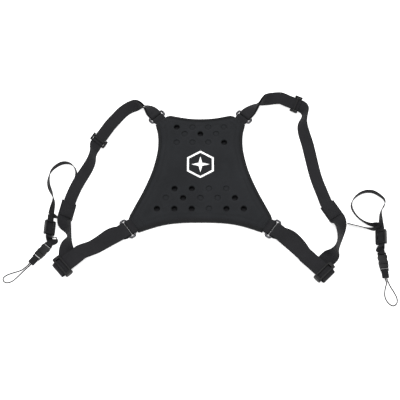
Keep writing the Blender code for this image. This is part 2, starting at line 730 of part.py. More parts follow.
LEFT_TETHER = {
    "slider": Frame(-236, -104, 8.2, 269, roll=-35),
    "buckle": Frame(-236.5, -131, 3.1, 230.5),
    "above": 20 * MM,              # straight tape above the slider's middle
    "outs": (-0.65, 0.65),
    "hidden": [(-221.5, -84, 88), (-218.6, -70, 90), (-216, -58, 90), (-209.8, -39, 90),
               (-202.5, -19, 90), (-200.5, -8, 84), (-202, 1, 78), (-206.5, 8.5, 76),
               (-214.5, 13, 86), (-224, 13, 92), (-234.5, 7, 92), (-242.5, -3, 82), (-245, -15, 62),
               (-243.5, -29, 58), (-237.5, -42, 72), (-233.5, -54, 100), (-235.2, -69, 132)],
    "down": [(-236, -122, -14)],
    "curl": [(-229, -127, 48), (-223.8, -126, 72), (-221.6, -121.8, 86), (-225, -118.6, 84, 2),
             (-231, -121, 46, 4.5)],
    "link": [(-231.6, -81.5, 62), (-227, -83, 92), (-222.5, -88, 96)],
    "cord": [(-275, -172), (-287, -176.5), (-297, -180.5), (-302, -185), (-301.5, -190),
             (-296.5, -193), (-289, -191), (-282, -185), (-274.5, -176.5)],
}

RIGHT_TETHER = {
    "slider": Frame(281.5, -120, 8.2, 266, roll=35),
    "buckle": Frame(281, -145.5, 3.1, 274),
    "above": 16 * MM,
    "outs": (-1.3, 0.0, 1.3),
    "thin": [(231, -94.5, 112), (235.5, -96, 112), (241, -97.5, 112), (249, -99.5, 112),
             (257, -102, 112), (265, -104, 100), (273.5, -105, 72)],
    "bulge": [(277.3, -136, 48, 4.5), (272.6, -136.6, 82, 1.5), (271.2, -138.8, 90, 0.5),
              (273.8, -140.6, 70, 1.5), (277.2, -139.8, 34, 3.2)],
    "up": [],
    "loop": [(283.8, -96, 130), (284.5, -87, 112), (284.8, -77, 98), (288.5, -68.5, 90),
             (294, -61, 84), (293.5, -53, 82), (286.5, -46, 88), (277, -39.5, 92),
             (267, -38.5, 94), (258, -41, 94), (250, -46, 92), (243, -53.5, 88), (239.5, -62.5, 86),
             (242, -74, 96), (250, -86, 104), (259, -93, 100), (268.5, -97.5, 84),
             (278, -97, 56)],
    "cord": [(284.5, -193), (281.5, -203), (280, -214), (282, -222), (286.5, -228), (292, -230),
             (297, -226), (298, -218), (294.5, -208.5), (290, -199.5)],
}


def make_main_straps(side, data):
    upper, lower = CORNERS[f"{side}_upper"], CORNERS[f"{side}_lower"]
    joint = data["joint"]

    slider = data["shoulder_slider"]
    middle = doubled(upper, slider, data["shoulder_doubled"], SHOULDER_WIDTH, data["shoulder_straight"])
    over = LAYER_PITCH / 2
    end = [joint.section(s * MM, over) for s in (-16, -3, 13)]
    leaving = [slider.section(s * MM, LAYER_PITCH / 2) for s in (7, 11)]
    single = leaving + data["shoulder_run"] + end
    path = strap_path(middle, upper, slider, TAIL, single, SHOULDER_WIDTH)
    ribbon(f"{side}_shoulder_strap", path, SHOULDER_WIDTH, WEBBING, WEB)
    make_slider(f"{side}_shoulder_slider", slider, SHOULDER_WIDTH, SLIDER_LENGTH, SLOT_HALF,
                SLIDER_BAR, BAR_WIDTH, SHOULDER_RAIL)

    slider = data["side_slider"]
    middle = doubled(lower, slider, data["side_doubled"], SIDE_WIDTH, data["side_straight"])
    floor = GAP + WEBBING / 2
    top = slider.at(TURN_BACK, 0, LAYER_PITCH / 2).z
    radius = (top - floor) / 2
    pivot = slider.at(TURN_BACK)
    heading = math.degrees(math.atan2(slider.x.y, slider.x.x))
    level = Frame(pivot.x / MM, pivot.y / MM, (floor + radius) / MM, heading)
    fold = turned(level, 0, 0, radius, 90, -90, steps=8)
    back_under = [level.section(-6 * MM, -radius)]
    end = [joint.section(s * MM, -over) for s in (19, 13, 3, -13)]
    start = [slider.section(5.5 * MM, LAYER_PITCH / 2)] + fold[:1]
    tail = strap_path(middle, lower, slider, TAIL, start, SIDE_WIDTH)
    last = laid(fold[-1:] + back_under + data["side_under"] + data["side_run"] + end, SIDE_WIDTH,
                WEBBING / 2)
    rest = eased(smoothed(last, LAY_STEP, before=fold[-2]), WEBBING_EASE)
    path = tail + fold[1:-1] + thinned(rest, SECTION_STEP)
    ribbon(f"{side}_side_strap", path, SIDE_WIDTH, WEBBING, WEB)
    make_slider(f"{side}_side_slider", slider, SIDE_WIDTH, SLIDER_LENGTH, SLOT_HALF, SLIDER_BAR,
                BAR_WIDTH, SIDE_RAIL)


def make_tether_parts(side, data):
    make_slider(f"{side}_tether_slider", data["slider"], TETHER_WIDTH, TETHER_SLIDER_LENGTH,
                TETHER_SLOT_HALF, TETHER_BAR, BAR_WIDTH, TETHER_RAIL)
    make_buckle(side, data["buckle"])
    make_cord(side, data["buckle"], data["cord"])


def make_left_tether(data):
    """Sewn under the joint, up beside the strap, round the loop, down through the slider, round
    the buckle's bar, back up through the slider and across to the joint again."""
    slider, buckle = data["slider"], data["buckle"]
    low, high = (out * MM for out in data["outs"])
    above, below = data["above"], 14 * MM
    fold = turned(buckle, 0, 0, PIN_FOLD, -90, 90)
    approach = [buckle.section(s * MM, -PIN_FOLD) for s in (-5, -2.5)]
    leave = [buckle.section(s * MM, PIN_FOLD) for s in (-2.5, -5)]
    path = tape_path([data["hidden"], through(slider, low, -above, below), data["down"],
                      approach + fold + leave, data["curl"], through(slider, high, below, -above),
                      data["link"]])
    ribbon("left_tether_tape", path, TETHER_WIDTH, TAPE, TETHER)


def make_right_tether(data):
    """Sewn to the joint, across to the slider and down through it, round the buckle's bar, back
    up, round the loop and down through the slider again, where it ends."""
    slider, buckle = data["slider"], data["buckle"]
    low, mid, high = (out * MM for out in data["outs"])
    above, below = data["above"], 14 * MM
    fold = turned(buckle, 0, 0, PIN_FOLD, 90, -90)
    approach = [buckle.section(s * MM, PIN_FOLD) for s in (-5, -2.5)]
    leave = [buckle.section(s * MM, -PIN_FOLD) for s in (-2.5, -5)]
    path = tape_path([data["thin"], through(slider, high, -above, below), data["bulge"],
                      approach + fold + leave, data["up"], through(slider, low, below, -above),
                      data["loop"], through(slider, mid, -above, below)])
    ribbon("right_tether_tape", path, TETHER_WIDTH, TAPE, TETHER)


clear_scene()
PARTS = collection("binocular_chest_harness")
CUTTERS = collection("cutters")
WEB = material("webbing", (0.028, 0.028, 0.030), 0.85)
TAB = material("tab_webbing", (0.022, 0.022, 0.024), 0.85)
TETHER = material("tether_tape", (0.022, 0.022, 0.024), 0.8)
CORD = material("cord", (0.015, 0.015, 0.016), 0.7)
FACE = material("pad_face", (0.026, 0.028, 0.030), 0.9)
FOAM = material("pad_foam", (0.010, 0.010, 0.011), 0.95)
LINING = material("pad_lining", (0.012, 0.012, 0.013), 0.95)
BINDING = material("pad_binding", (0.020, 0.021, 0.022), 0.85)
PRINT = material("emblem", (0.80, 0.80, 0.80), 0.6)
PLASTIC = material("hardware_plastic", (0.020, 0.020, 0.021), 0.4)
METAL = material("ring_metal", (0.06, 0.06, 0.065), 0.3, 1.0)

make_pad(CORNERS.values())
for corner, ring_frame in CORNERS.items():
    webbing_width = SHOULDER_WIDTH if corner.endswith("upper") else SIDE_WIDTH
    make_ring(f"{corner}_ring", ring_frame, webbing_width)
    make_ring_tab(f"{corner}_tab", ring_frame, webbing_width)
for side_name, side_data, tether_data in (("left", LEFT, LEFT_TETHER), ("right", RIGHT, RIGHT_TETHER)):
    make_main_straps(side_name, side_data)
    make_tether_parts(side_name, tether_data)
make_left_tether(LEFT_TETHER)
make_right_tether(RIGHT_TETHER)
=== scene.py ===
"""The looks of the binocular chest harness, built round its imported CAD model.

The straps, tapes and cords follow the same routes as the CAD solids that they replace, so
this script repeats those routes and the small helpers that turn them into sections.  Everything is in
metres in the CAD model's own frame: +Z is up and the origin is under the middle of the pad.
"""

import math
from itertools import accumulate

import bmesh
import bpy
from mathutils import Matrix, Vector, geometry, kdtree, noise


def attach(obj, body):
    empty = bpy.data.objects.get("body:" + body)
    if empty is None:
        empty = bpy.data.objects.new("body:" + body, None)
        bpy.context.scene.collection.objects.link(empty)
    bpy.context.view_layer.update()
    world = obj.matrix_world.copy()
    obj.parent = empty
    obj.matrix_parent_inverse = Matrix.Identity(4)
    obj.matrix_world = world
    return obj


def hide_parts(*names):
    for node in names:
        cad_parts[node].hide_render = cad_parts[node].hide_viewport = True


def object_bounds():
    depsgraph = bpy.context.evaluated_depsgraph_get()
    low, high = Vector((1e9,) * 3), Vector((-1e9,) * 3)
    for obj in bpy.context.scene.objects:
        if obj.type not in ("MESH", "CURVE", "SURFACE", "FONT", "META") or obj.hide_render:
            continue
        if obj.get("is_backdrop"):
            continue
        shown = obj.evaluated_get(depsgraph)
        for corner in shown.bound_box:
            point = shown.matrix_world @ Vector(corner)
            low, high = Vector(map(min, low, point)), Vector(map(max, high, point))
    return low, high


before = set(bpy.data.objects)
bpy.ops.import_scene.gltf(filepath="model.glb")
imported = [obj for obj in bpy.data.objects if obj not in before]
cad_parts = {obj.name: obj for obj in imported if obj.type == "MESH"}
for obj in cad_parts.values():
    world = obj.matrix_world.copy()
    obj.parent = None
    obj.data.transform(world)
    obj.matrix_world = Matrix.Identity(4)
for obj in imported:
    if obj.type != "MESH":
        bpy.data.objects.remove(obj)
cad_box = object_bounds()

MM = 0.001
UP = Vector((0, 0, 1))


def mm(*lengths):
    return tuple(length * MM for length in lengths)


def with_values(made, **values):
    """A new Blender thing, given its settings."""
    for name, value in values.items():
        setattr(made, name, value)
    return made


# --- Dimensions shared with the CAD model ---
GAP, FLOOR = mm(0.3, 0.2)
SHOULDER_WIDTH, SIDE_WIDTH, TETHER_WIDTH = mm(20, 25, 10)
WEBBING, TAPE = mm(1.4, 1.0)
LAYER_PITCH = 1.8 * MM
RING_BAR, RING_CORNER, WIRE_RADIUS = mm(4.4, 2.6, 1.8)
RING_END_GAP = 1.9 * MM
TAB_SOFT_Z = 0.9 * MM
SLOT_SIDE, BAR_WIDTH = mm(0.6, 2.8)
SHOULDER_SLIDER = mm(13, 2.0, 2.0, 3.2)   # length, half a slot's height, bar, rail
SIDE_SLIDER = mm(13, 2.0, 2.0, 4.6)
TETHER_SLIDER = mm(24, 2.1, 1.5, 2.6)
TURN_BACK, TAIL = mm(7.5, 6)
PIN_RADIUS, PIN_FOLD, PLUG_PIN = mm(1.0, 1.8, 27.8)
TAB_END, TAB_LEG, CORD_RADIUS = mm(40, 1.75, 0.9)
WEBBING_EASE, TAPE_EASE = 14, 6           # how many times a strap's free parts are relaxed
HOLE_RADIUS = 4.8 * MM
UPPER_HOLES, UPPER_PITCH = [(78.5, 4), (65.5, 3), (49.5, 4)], 26 * MM
LOWER_HOLES, LOWER_PITCH = [(-35.5, 4), (-52.0, 5), (-71.0, 6)], 27.5 * MM
EMBLEM_Y, EMBLEM_RADIUS, EMBLEM_LINE = mm(8, 25, 3.6)
STAR_POINT, STAR_WAIST = mm(14.5, 4.2)

# --- Sizes of the finished pieces ---
STEP = 2 * MM                             # spacing of a strap's cross-sections
STRAP_FOLD, TAB_FOLD = mm(3.8, 3.2)       # a strap and a tab puffed up round a ring's bars
FOAM_BOTTOM = 1.3 * MM
FACE_EDGE = 7.4 * MM                      # height of the pad's face where it goes under the binding
CROWN, CROWN_REACH = mm(2.2, 13)
EDGE_ROLL = 2.4 * MM                      # radius of the pad's edge
LIP_ROLL = 1.1 * MM                       # radius of the fabric where it turns into a vent hole
HOLE_DIMPLE, DIMPLE_REACH = mm(0.55, 3.2)
HOLE_SIDES = 28
OPEN_HOLES = {0, 5, 10, 11, 12, 16, 19, 20, 21, 22, 24, 25}  # counted row by row from the top left
DOME_DEPTH, DOME_RISE = mm(1.9, 0.8)      # of the foam that has risen in the other holes
BINDING_LIP, BINDING_CLOTH = mm(5.4, 0.8)
BINDING_SIDE = 2.8 * MM                   # half of how far the binding's rounded side reaches into the pad
SHELL_INSET, LINING_INSET = mm(0.9, 2.2)
CUT_TAPER = 6 * MM                        # length over which a binding's cut end goes into the pad
PRINT_CELL, PRINT_STEP = mm(1.4, 1.2)
THREAD, ON_CLOTH = mm(0.28, 0.05)         # a thread's radius, and how far it stands off the cloth
EDGE_STITCH = mm(2.5, 0.9)                # a stitch's length and the gap to the next
BOX_STITCH = mm(1.9, 0.5)
BAR_STITCH = mm(1.2, 0.25)
BUCKLE_POST, PIN_HALF = mm(5.4, 1.2)      # from a buckle's middle to its posts; half their height
SOCKET_HALF, PLUG_HALF, ARM_HALF = mm(2.7, 2.4, 1.2)  # half heights


# --- Frames and sections, as in the CAD model ---
def rolled(along, roll):
    """The direction across a strap that runs along and is rolled some degrees from level."""
    level = UP.cross(along).normalized()
    roll = math.radians(roll)
    return level * math.cos(roll) + along.normalized().cross(level) * math.sin(roll)


class Frame:
    """A place on a strap: X runs along it, Y across it and Z out of its face."""

    def __init__(self, x, y, z, heading, roll=0.0):
        heading = math.radians(heading)
        self.origin = Vector(mm(x, y, z))
        self.x = Vector((math.cos(heading), math.sin(heading), 0))
        self.y = rolled(self.x, roll)
        self.z = self.x.cross(self.y)

    def at(self, along, across=0.0, out=0.0):
        return self.origin + self.x * along + self.y * across + self.z * out

    def section(self, along, out=0.0, gap=LAYER_PITCH):
        return Section(self.at(along, 0, out), self.y, gap, held=True)

    def matrix(self):
        columns = Matrix((self.x, self.y, self.z)).transposed().to_4x4()
        return Matrix.Translation(self.origin) @ columns


class Section:
    """A strap's middle and direction across at one place, and where it is doubled the layers'
    spacing and the back layer's sideways shift.  A held section doesn't move when others settle."""

    def __init__(self, centre, across, gap=LAYER_PITCH, shift=0.0, held=False):
        self.centre, self.across, self.gap, self.shift = centre, across.normalized(), gap, shift
        self.held = held

    def at(self, centre):
        return Section(centre, self.across, self.gap, self.shift, self.held)

    def packed(self):
        return [*self.centre, *self.across, self.gap, self.shift]


def unpacked(numbers, held):
    return Section(Vector(numbers[:3]), Vector(numbers[3:6]), numbers[6], numbers[7], held)


def centres_of(sections):
    return [section.centre for section in sections]


def tangents(points):
    """The way from each point's neighbour before it to its neighbour after it."""
    last = len(points) - 1
    return [points[min(i + 1, last)] - points[max(i - 1, 0)] for i in range(last + 1)]


def facing(sections):
    """The direction along the strap and the one out of its face, at each section."""
    ways = [way.normalized() for way in tangents(centres_of(sections))]
    return [(along, along.cross(section.across).normalized()) for section, along in zip(sections, ways)]


def runs(points):
    """How far along a line each of its points is."""
    return [0.0, *accumulate((b - a).length for a, b in zip(points, points[1:]))]


def laid(route, width, half_pack):
    """Turn a route into sections.  A free point is (x, y, roll, lift, gap, shift) in millimetres and
    degrees: the strap rests on the floor on whichever edge its roll puts lowest, plus its lift."""
    usual = (0, 0, 0, GAP / MM, LAYER_PITCH / MM, 0)
    sections = []
    for point in route:
        if isinstance(point, Section):
            sections.append(point.at(point.centre))
            continue
        x, y, roll, lift, gap, shift = (*point, *usual[len(point):])
        roll = math.radians(roll)
        height = lift * MM + width / 2 * abs(math.sin(roll)) + half_pack * abs(math.cos(roll))
        sections.append(Section(Vector((x * MM, y * MM, height)), UP, gap * MM, shift * MM))
    for i, along in enumerate(tangents(centres_of(sections))):
        section = sections[i]
        if not isinstance(route[i], Section):
            section.across = rolled(along, route[i][2]).normalized()
        if i and section.across.dot(sections[i - 1].across) < 0:
            section.across = -section.across
    return sections


def smoothed(sections, step, before=None, after=None):
    """A centripetal Catmull-Rom curve through the sections, sampled about every step.  before and
    after are neighbours that only set the direction of the two ends."""
    points = [section.packed() for section in sections]
    first = before.packed() if before else [2 * a - b for a, b in zip(points[0], points[1])]
    last = after.packed() if after else [2 * a - b for a, b in zip(points[-1], points[-2])]
    points = [first] + points + [last]
    samples, held, straight = [], [], True
    for i in range(1, len(points) - 2):
        four = points[i - 1:i + 3]
        knots = [0.0]
        for a, b in zip(four, four[1:]):
            knots.append(knots[-1] + math.sqrt(max(math.dist(a[:3], b[:3]), 1e-5)))
        count = max(1, round(math.dist(four[1][:3], four[2][:3]) / step))
        was_straight, straight = straight, sections[i - 1].held and sections[i].held
        for k in range(count):
            samples.append(catmull_rom(four, knots, k / count))
            held.append(straight and (was_straight or k > 0))
    samples.append(points[-2])
    held = [True, *held[1:], True]
    return [unpacked(numbers, keep) for numbers, keep in zip(samples, held)]


def catmull_rom(four, knots, fraction):
    at = knots[1] + (knots[2] - knots[1]) * fraction

    def mix(p, q, low, high):
        return [(a * (high - at) + b * (at - low)) / (high - low) for a, b in zip(p, q)]

    first = [mix(four[i], four[i + 1], knots[i], knots[i + 1]) for i in range(3)]
    second = [mix(first[i], first[i + 1], knots[i], knots[i + 2]) for i in range(2)]
    return mix(second[0], second[1], knots[1], knots[2])


def eased(sections, rounds):
    """The sections after the strap has settled: each round moves every free one half way to the
    middle of its neighbours.  All are then turned square to the strap."""
    points = [Vector(section.packed()) for section in sections]
    for _ in range(rounds):
        middles = [(a + b) / 2 for a, b in zip(points, points[2:])]
        for i, middle in enumerate(middles, 1):
            if not sections[i].held:
                points[i] = (points[i] + middle) / 2
    result = [unpacked(numbers, section.held) for numbers, section in zip(points, sections)]
    for section, (along, out) in zip(result, facing(result)):
        section.across = out.cross(along).normalized()
    return result


def rested(sections, width, half_pack):
    """The sections, each raised where its lower edge would reach under the floor."""
    result = []
    for section, way in zip(sections, tangents(centres_of(sections))):
        out = way.normalized().cross(section.across)
        reach = width / 2 * abs(section.across.z) + half_pack * abs(out.z)
        rise = max(0.0, FLOOR + reach - section.centre.z)
        result.append(section.at(section.centre + UP * rise))
    return result


def layer(sections, side):
    """One layer of a doubled strap: side is +1 for the front layer and -1 for the back one."""
    result = []
    for section, (_, out) in zip(sections, facing(sections)):
        shift = section.shift if side < 0 else 0.0
        centre = section.centre + out * (side * section.gap / 2) + section.across * shift
        result.append(Section(centre, section.across))
    return result


def turned(place, along, out, radius, start, end, steps):
    """Sections round a bar across the frame; angles run from +X (0) towards +Z (90)."""
    result = []
    for i in range(steps + 1):
        angle = math.radians(start + (end - start) * i / steps)
        result.append(place.section(along + radius * math.cos(angle), out + radius * math.sin(angle)))
    return result


def round_bar(lead, fold, leave, step):
    """A strip that goes through the lead sections, round a fold, and away through the others."""
    start = smoothed(lead + fold[:1], step, after=fold[1])
    end = smoothed(fold[-1:] + leave, step, before=fold[-2])
    return start + fold[1:-1] + end


def spaced(points, spacing):
    """The line through the points, with more points along its long stretches."""
    full = []
    for a, b in zip(points, points[1:]):
        count = max(1, round((b - a).length / spacing))
        full += [a.lerp(b, k / count) for k in range(count)]
    return full + points[-1:]


def spaced_loop(points, spacing):
    return spaced(points + points[:1], spacing)[:-1]


def circle(centre, radius, sides, turn=0.0, side=Vector((1, 0)), up=Vector((0, 1))):
    angles = [math.radians(turn) + 2 * math.pi * i / sides for i in range(sides)]
    return [centre + radius * (math.cos(a) * side + math.sin(a) * up) for a in angles]


# --- Camera and light ---
CAMERA_TARGET = Vector((-0.00065, -0.05164, 0))
CAMERA_DISTANCE, CAMERA_ELEVATION = 1.422, math.radians(64)
CAMERA_LENS, CAMERA_SENSOR = 80, 36       # millimetres


def into_scene(name, data):
    made = bpy.data.objects.new(name, data)
    bpy.context.scene.collection.objects.link(made)
    return made


def make_camera():
    back = Vector((0, -math.cos(CAMERA_ELEVATION), math.sin(CAMERA_ELEVATION)))
    camera = into_scene("camera", bpy.data.cameras.new("camera"))
    with_values(camera.data, lens=CAMERA_LENS, sensor_width=CAMERA_SENSOR)
    with_values(camera, location=CAMERA_TARGET + CAMERA_DISTANCE * back,
                rotation_euler=(math.radians(90) - CAMERA_ELEVATION, 0, 0))
    bpy.context.scene.camera = camera


def area_light(name, place, target, size, power):
    lamp = into_scene(name, with_values(bpy.data.lights.new(name, "AREA"), size=size, energy=power))
    to_target = Vector(target) - Vector(place)
    with_values(lamp, location=place, rotation_euler=to_target.to_track_quat("-Z", "Y").to_euler())


def make_stage():
    """A white table, a large soft light overhead and a weaker one from the front left."""
    world = bpy.data.worlds.new("studio")
    world.use_nodes = True
    background = world.node_tree.nodes["Background"].inputs
    background["Color"].default_value = (1, 1, 1, 1)
    background["Strength"].default_value = 0.75
    bpy.context.scene.world = world
    bpy.context.scene.view_settings.view_transform = "Standard"
    area_light("overhead", (0.1, 0.35, 1.5), (0, 0, 0), 1.3, 22)
    area_light("front_left", (-0.9, -0.8, 0.9), (0, -0.05, 0), 0.7, 5)
    bm = bmesh.new()
    bmesh.ops.create_grid(bm, x_segments=1, y_segments=1, size=4)
    floor = mesh_object("floor", bm, FLOOR_WHITE)
    floor.location.z = -0.1 * MM
    floor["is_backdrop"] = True


# --- Materials ---
class Look:
    """A material and short ways to add nodes to it."""

    def __init__(self, name, colour, roughness, metallic=0.0, sheen=0.0, specular=0.5):
        self.material = bpy.data.materials.new(name)
        self.material.use_nodes = True
        self.tree = self.material.node_tree
        self.shader = self.tree.nodes["Principled BSDF"]
        self.colour = colour
        values = {"Base Color": (*colour, 1), "Roughness": roughness, "Metallic": metallic,
                  "Specular IOR Level": specular, "Sheen Weight": sheen, "Sheen Roughness": 0.5}
        for socket, value in values.items():
            self.shader.inputs[socket].default_value = value

    def node(self, kind, inputs, **settings):
        made = with_values(self.tree.nodes.new(kind), **settings)
        for socket, value in inputs.items():
            if isinstance(value, bpy.types.NodeSocket):
                self.tree.links.new(value, made.inputs[socket])
            else:
                made.inputs[socket].default_value = value
        return made

    def math(self, operation, first, second=0.0):
        return self.node("ShaderNodeMath", {0: first, 1: second}, operation=operation).outputs[0]

    def plus(self, first, second, share=1.0):
        """The first value plus a share of the second."""
        return self.math("ADD", first, second if share == 1.0 else self.math("MULTIPLY", second, share))

    def mixed(self, first, second, share):
        """A share of the first value and the rest of the second."""
        return self.plus(self.math("MULTIPLY", first, share), second, 1 - share)

    def ridges(self, value):
        """Rounded ridges, one for each unit of the value."""
        return self.math("ABSOLUTE", self.math("SINE", self.math("MULTIPLY", value, math.pi)))

    def place(self, kind="Object"):
        return self.node("ShaderNodeTexCoord", {}).outputs[kind]

    def across_and_along(self):
        """The texture's place in metres across (U) and along (V) a strap."""
        return self.node("ShaderNodeSeparateXYZ", {0: self.place("UV")}).outputs[:2]

    def noise(self, scale, detail, distortion=0.0):
        inputs = {"Vector": self.place(), "Scale": scale, "Detail": detail, "Distortion": distortion}
        return self.node("ShaderNodeTexNoise", inputs).outputs["Fac"]

    def ramp(self, value, low, high, start=0.0, end=1.0):
        """A value from start..end mapped to low..high."""
        inputs = {"Value": value, "From Min": start, "From Max": end, "To Min": low, "To Max": high}
        return self.node("ShaderNodeMapRange", inputs).outputs["Result"]

    def tint(self, value, dark, light):
        """The base colour times dark..light, following a value from 0 to 1."""
        shades = [(*(channel * factor for channel in self.colour), 1) for factor in (dark, light)]
        mixed = self.node("ShaderNodeMix", {"Factor": value, 6: shades[0], 7: shades[1]}, data_type="RGBA")
        self.tree.links.new(mixed.outputs[2], self.shader.inputs["Base Color"])

    def rough(self, value, low, high):
        self.tree.links.new(self.ramp(value, low, high), self.shader.inputs["Roughness"])

    def bump(self, height, distance):
        made = self.node("ShaderNodeBump", {"Height": height, "Distance": distance, "Strength": 1.0})
        self.tree.links.new(made.outputs["Normal"], self.shader.inputs["Normal"])


def woven_look(name, colour, sizes, roughness=0.8):
    """Webbing: columns of yarn along the strap, each crossed by ribs and half a rib out of step with
    the next.  The sizes are a column's width, a rib's width and the depth of the weave."""
    column, rib, depth = sizes
    look = Look(name, colour, roughness, sheen=0.03, specular=0.12)
    across, along = look.across_and_along()
    across = look.math("DIVIDE", across, column)
    along = look.math("DIVIDE", along, rib)
    odd = look.math("MODULO", look.math("FLOOR", across), 2.0)
    ribs = look.ridges(look.plus(along, odd, 0.5))
    height = look.math("POWER", look.math("MULTIPLY", ribs, look.ridges(across)), 0.5)
    fuzz = look.noise(2600, 2)
    # Painted shade and painted highlight: half the colour follows the weave's height, darker in the hollows
    # between the yarns and lighter on the ribs; the other half is a slow random change of tone.
    look.tint(look.mixed(height, look.noise(45, 3), 0.5), 0.55, 1.45)
    look.rough(fuzz, roughness - 0.12, roughness + 0.12)
    look.bump(look.plus(height, fuzz, 0.35), depth)
    return look.material


def knitted_look(name, colour, stitch, depth, variation=0.25, roughness=0.88, sheen=0.03):
    """Knitted fabric: small round loops, a fine fuzz, and slow changes of tone."""
    look = Look(name, colour, roughness, sheen=sheen, specular=0.12)
    grid = {"Vector": look.place(), "Scale": 1 / stitch, "Randomness": 0.35}
    loops = look.node("ShaderNodeTexVoronoi", grid).outputs["Distance"]
    loop = look.ramp(loops, 1.0, 0.0, 0.0, 0.7)
    fuzz = look.noise(3000, 2)
    # Painted shade and painted highlight: part of the colour follows the loops' bumps, darker round their rims
    # and lighter on their middles; the rest is a slow random change of tone.
    look.tint(look.mixed(loop, look.noise(22, 4), 0.45), 1 - variation, 1 + variation)
    look.rough(fuzz, roughness - 0.08, roughness + 0.1)
    look.bump(look.plus(loop, fuzz, 0.4), depth)
    return look.material


def moulded_look(name, colour, roughness):
    """Moulded plastic: a fine grain, uneven gloss and faint scuffs."""
    look = Look(name, colour, roughness, specular=0.15)
    scuffs = look.noise(260, 6, distortion=1.5)
    look.tint(look.ramp(scuffs, 0, 1, 0.5, 0.75), 0.85, 1.6)
    look.rough(look.mixed(look.noise(120, 4), scuffs, 0.6), roughness - 0.1, roughness + 0.16)
    look.bump(look.noise(1800, 2), 0.02 * MM)
    return look.material


def plated_look(name, colour):
    """Plated wire: fine drawing marks and a slightly uneven gloss."""
    look = Look(name, colour, 0.3, metallic=1.0)
    marks = look.noise(900, 5)
    look.tint(look.noise(150, 3), 0.75, 1.2)
    look.rough(marks, 0.2, 0.42)
    look.bump(marks, 0.015 * MM)
    return look.material


def braided_look(name, colour, pitch):
    """Braided cord: two sets of strands that wind round it in opposite directions."""
    look = Look(name, colour, 0.7, sheen=0.03, specular=0.15)
    along, around = look.across_and_along()       # a curve's texture runs along it first
    along = look.math("MULTIPLY", along, 1 / pitch)
    around = look.math("MULTIPLY", around, 4.0)
    strands = [look.ridges(look.math(way, along, around)) for way in ("ADD", "SUBTRACT")]
    height = look.math("MAXIMUM", *strands)
    # Painted shade and painted highlight: the colour follows the strands' height, darker in the grooves between
    # them and lighter on their crowns.
    look.tint(height, 0.5, 1.5)
    look.bump(height, 0.12 * MM)
    return look.material


def printed_look(name, colour):
    """A transfer print: smooth, a little worn where it lies on the fabric's loops."""
    look = Look(name, colour, 0.55)
    look.tint(look.ramp(look.noise(700, 4), 0, 1, 0.3, 0.45), 0.72, 1.0)
    look.bump(look.noise(1100, 2), 0.05 * MM)
    return look.material


def floor_look():
    """A white table top that glows a little, as a lit cyclorama does in a photograph."""
    look = Look("floor", (0.9, 0.9, 0.9), 0.9)
    look.shader.inputs["Emission Color"].default_value = (1, 1, 1, 1)
    look.shader.inputs["Emission Strength"].default_value = 0.55
    return look.material


WEB = woven_look("webbing", (0.0125, 0.0125, 0.0140), mm(1.1, 1.5, 0.22))
TAB = woven_look("tab_webbing", (0.0115, 0.0115, 0.0130), mm(1.1, 1.5, 0.22))
TETHER = woven_look("tether_tape", (0.0105, 0.0105, 0.0115), mm(0.8, 1.0, 0.15))
GROSGRAIN = woven_look("pad_binding", (0.0115, 0.0120, 0.0132), mm(30, 0.75, 0.10))
CORD = braided_look("cord", (0.009, 0.009, 0.010), 1.6 * MM)
FACE = knitted_look("pad_face", (0.0150, 0.0160, 0.0178), 0.9 * MM, 0.22 * MM, variation=0.5)
FOAM = knitted_look("pad_foam", (0.007, 0.007, 0.008), 0.7 * MM, 0.3 * MM, roughness=0.95, sheen=0.0)
LINING = knitted_look("pad_lining", (0.016, 0.016, 0.018), 1.4 * MM, 0.2 * MM)
SEWING = woven_look("thread", (0.019, 0.019, 0.021), mm(0.3, 0.5, 0.04), roughness=0.6)
PRINT = printed_look("emblem", (0.86, 0.86, 0.86))
PLASTIC = moulded_look("hardware_plastic", (0.0075, 0.0075, 0.0080), 0.46)
METAL = plated_look("ring_metal", (0.06, 0.06, 0.065))
FLOOR_WHITE = floor_look()


# --- Mesh helpers ---
def finished(name, mesh, look, smooth=50):
    """An object for a mesh, with its normals facing out and its gentle edges smooth."""
    bm = bmesh.new()
    bm.from_mesh(mesh)
    bmesh.ops.recalc_face_normals(bm, faces=bm.faces)
    bm.to_mesh(mesh)
    bm.free()
    mesh.materials.append(look)
    mesh.shade_smooth()
    mesh.set_sharp_from_angle(angle=math.radians(smooth))
    return into_scene(name, mesh)


def mesh_object(name, bm, look, smooth=50):
    mesh = bpy.data.meshes.new(name)
    bm.to_mesh(mesh)
    bm.free()
    return finished(name, mesh, look, smooth)


def skin(bm, rings, closed=False):
    """Faces between rings of points, with a cap at each end unless the last ring meets the first."""
    rings = [[bm.verts.new(point) for point in ring] for ring in rings]
    for near, far in zip(rings, rings[1:] + (rings[:1] if closed else [])):
        for i in range(len(near)):
            j = (i + 1) % len(near)
            bm.faces.new((near[i], near[j], far[j], far[i]))
    if not closed:
        bm.faces.new(rings[0])
        bm.faces.new(reversed(rings[-1]))


def loft(name, rings, marks, look, smooth=50):
    """A closed skin over rings of points.  marks are their places on the texture."""
    bm = bmesh.new()
    skin(bm, rings)
    made = mesh_object(name, bm, look, smooth)
    places = [mark for ring in marks for mark in ring]
    texture = made.data.uv_layers.new(name="UVMap")
    for loop in made.data.loops:
        texture.data[loop.index].uv = places[loop.vertex_index]
    return made


def put(piece, body, slot, *nodes):
    """Ride a piece on a body and let it stand for CAD nodes."""
    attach(piece, body)
    if nodes:
        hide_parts(*nodes)
    return piece


def band_profile(width, thickness, columns=12, turn=4):
    """Half-round selvedges and a flat top and bottom: (across, out) round the band."""
    radius = thickness / 2
    flat = width / 2 - radius
    points = [(-flat + 2 * flat * i / columns, radius) for i in range(columns + 1)]
    points += [(flat + radius * math.cos(a), radius * math.sin(a))
               for a in (math.pi / 2 - math.pi * i / turn for i in range(1, turn))]
    return points + [(-across, -out) for across, out in points]


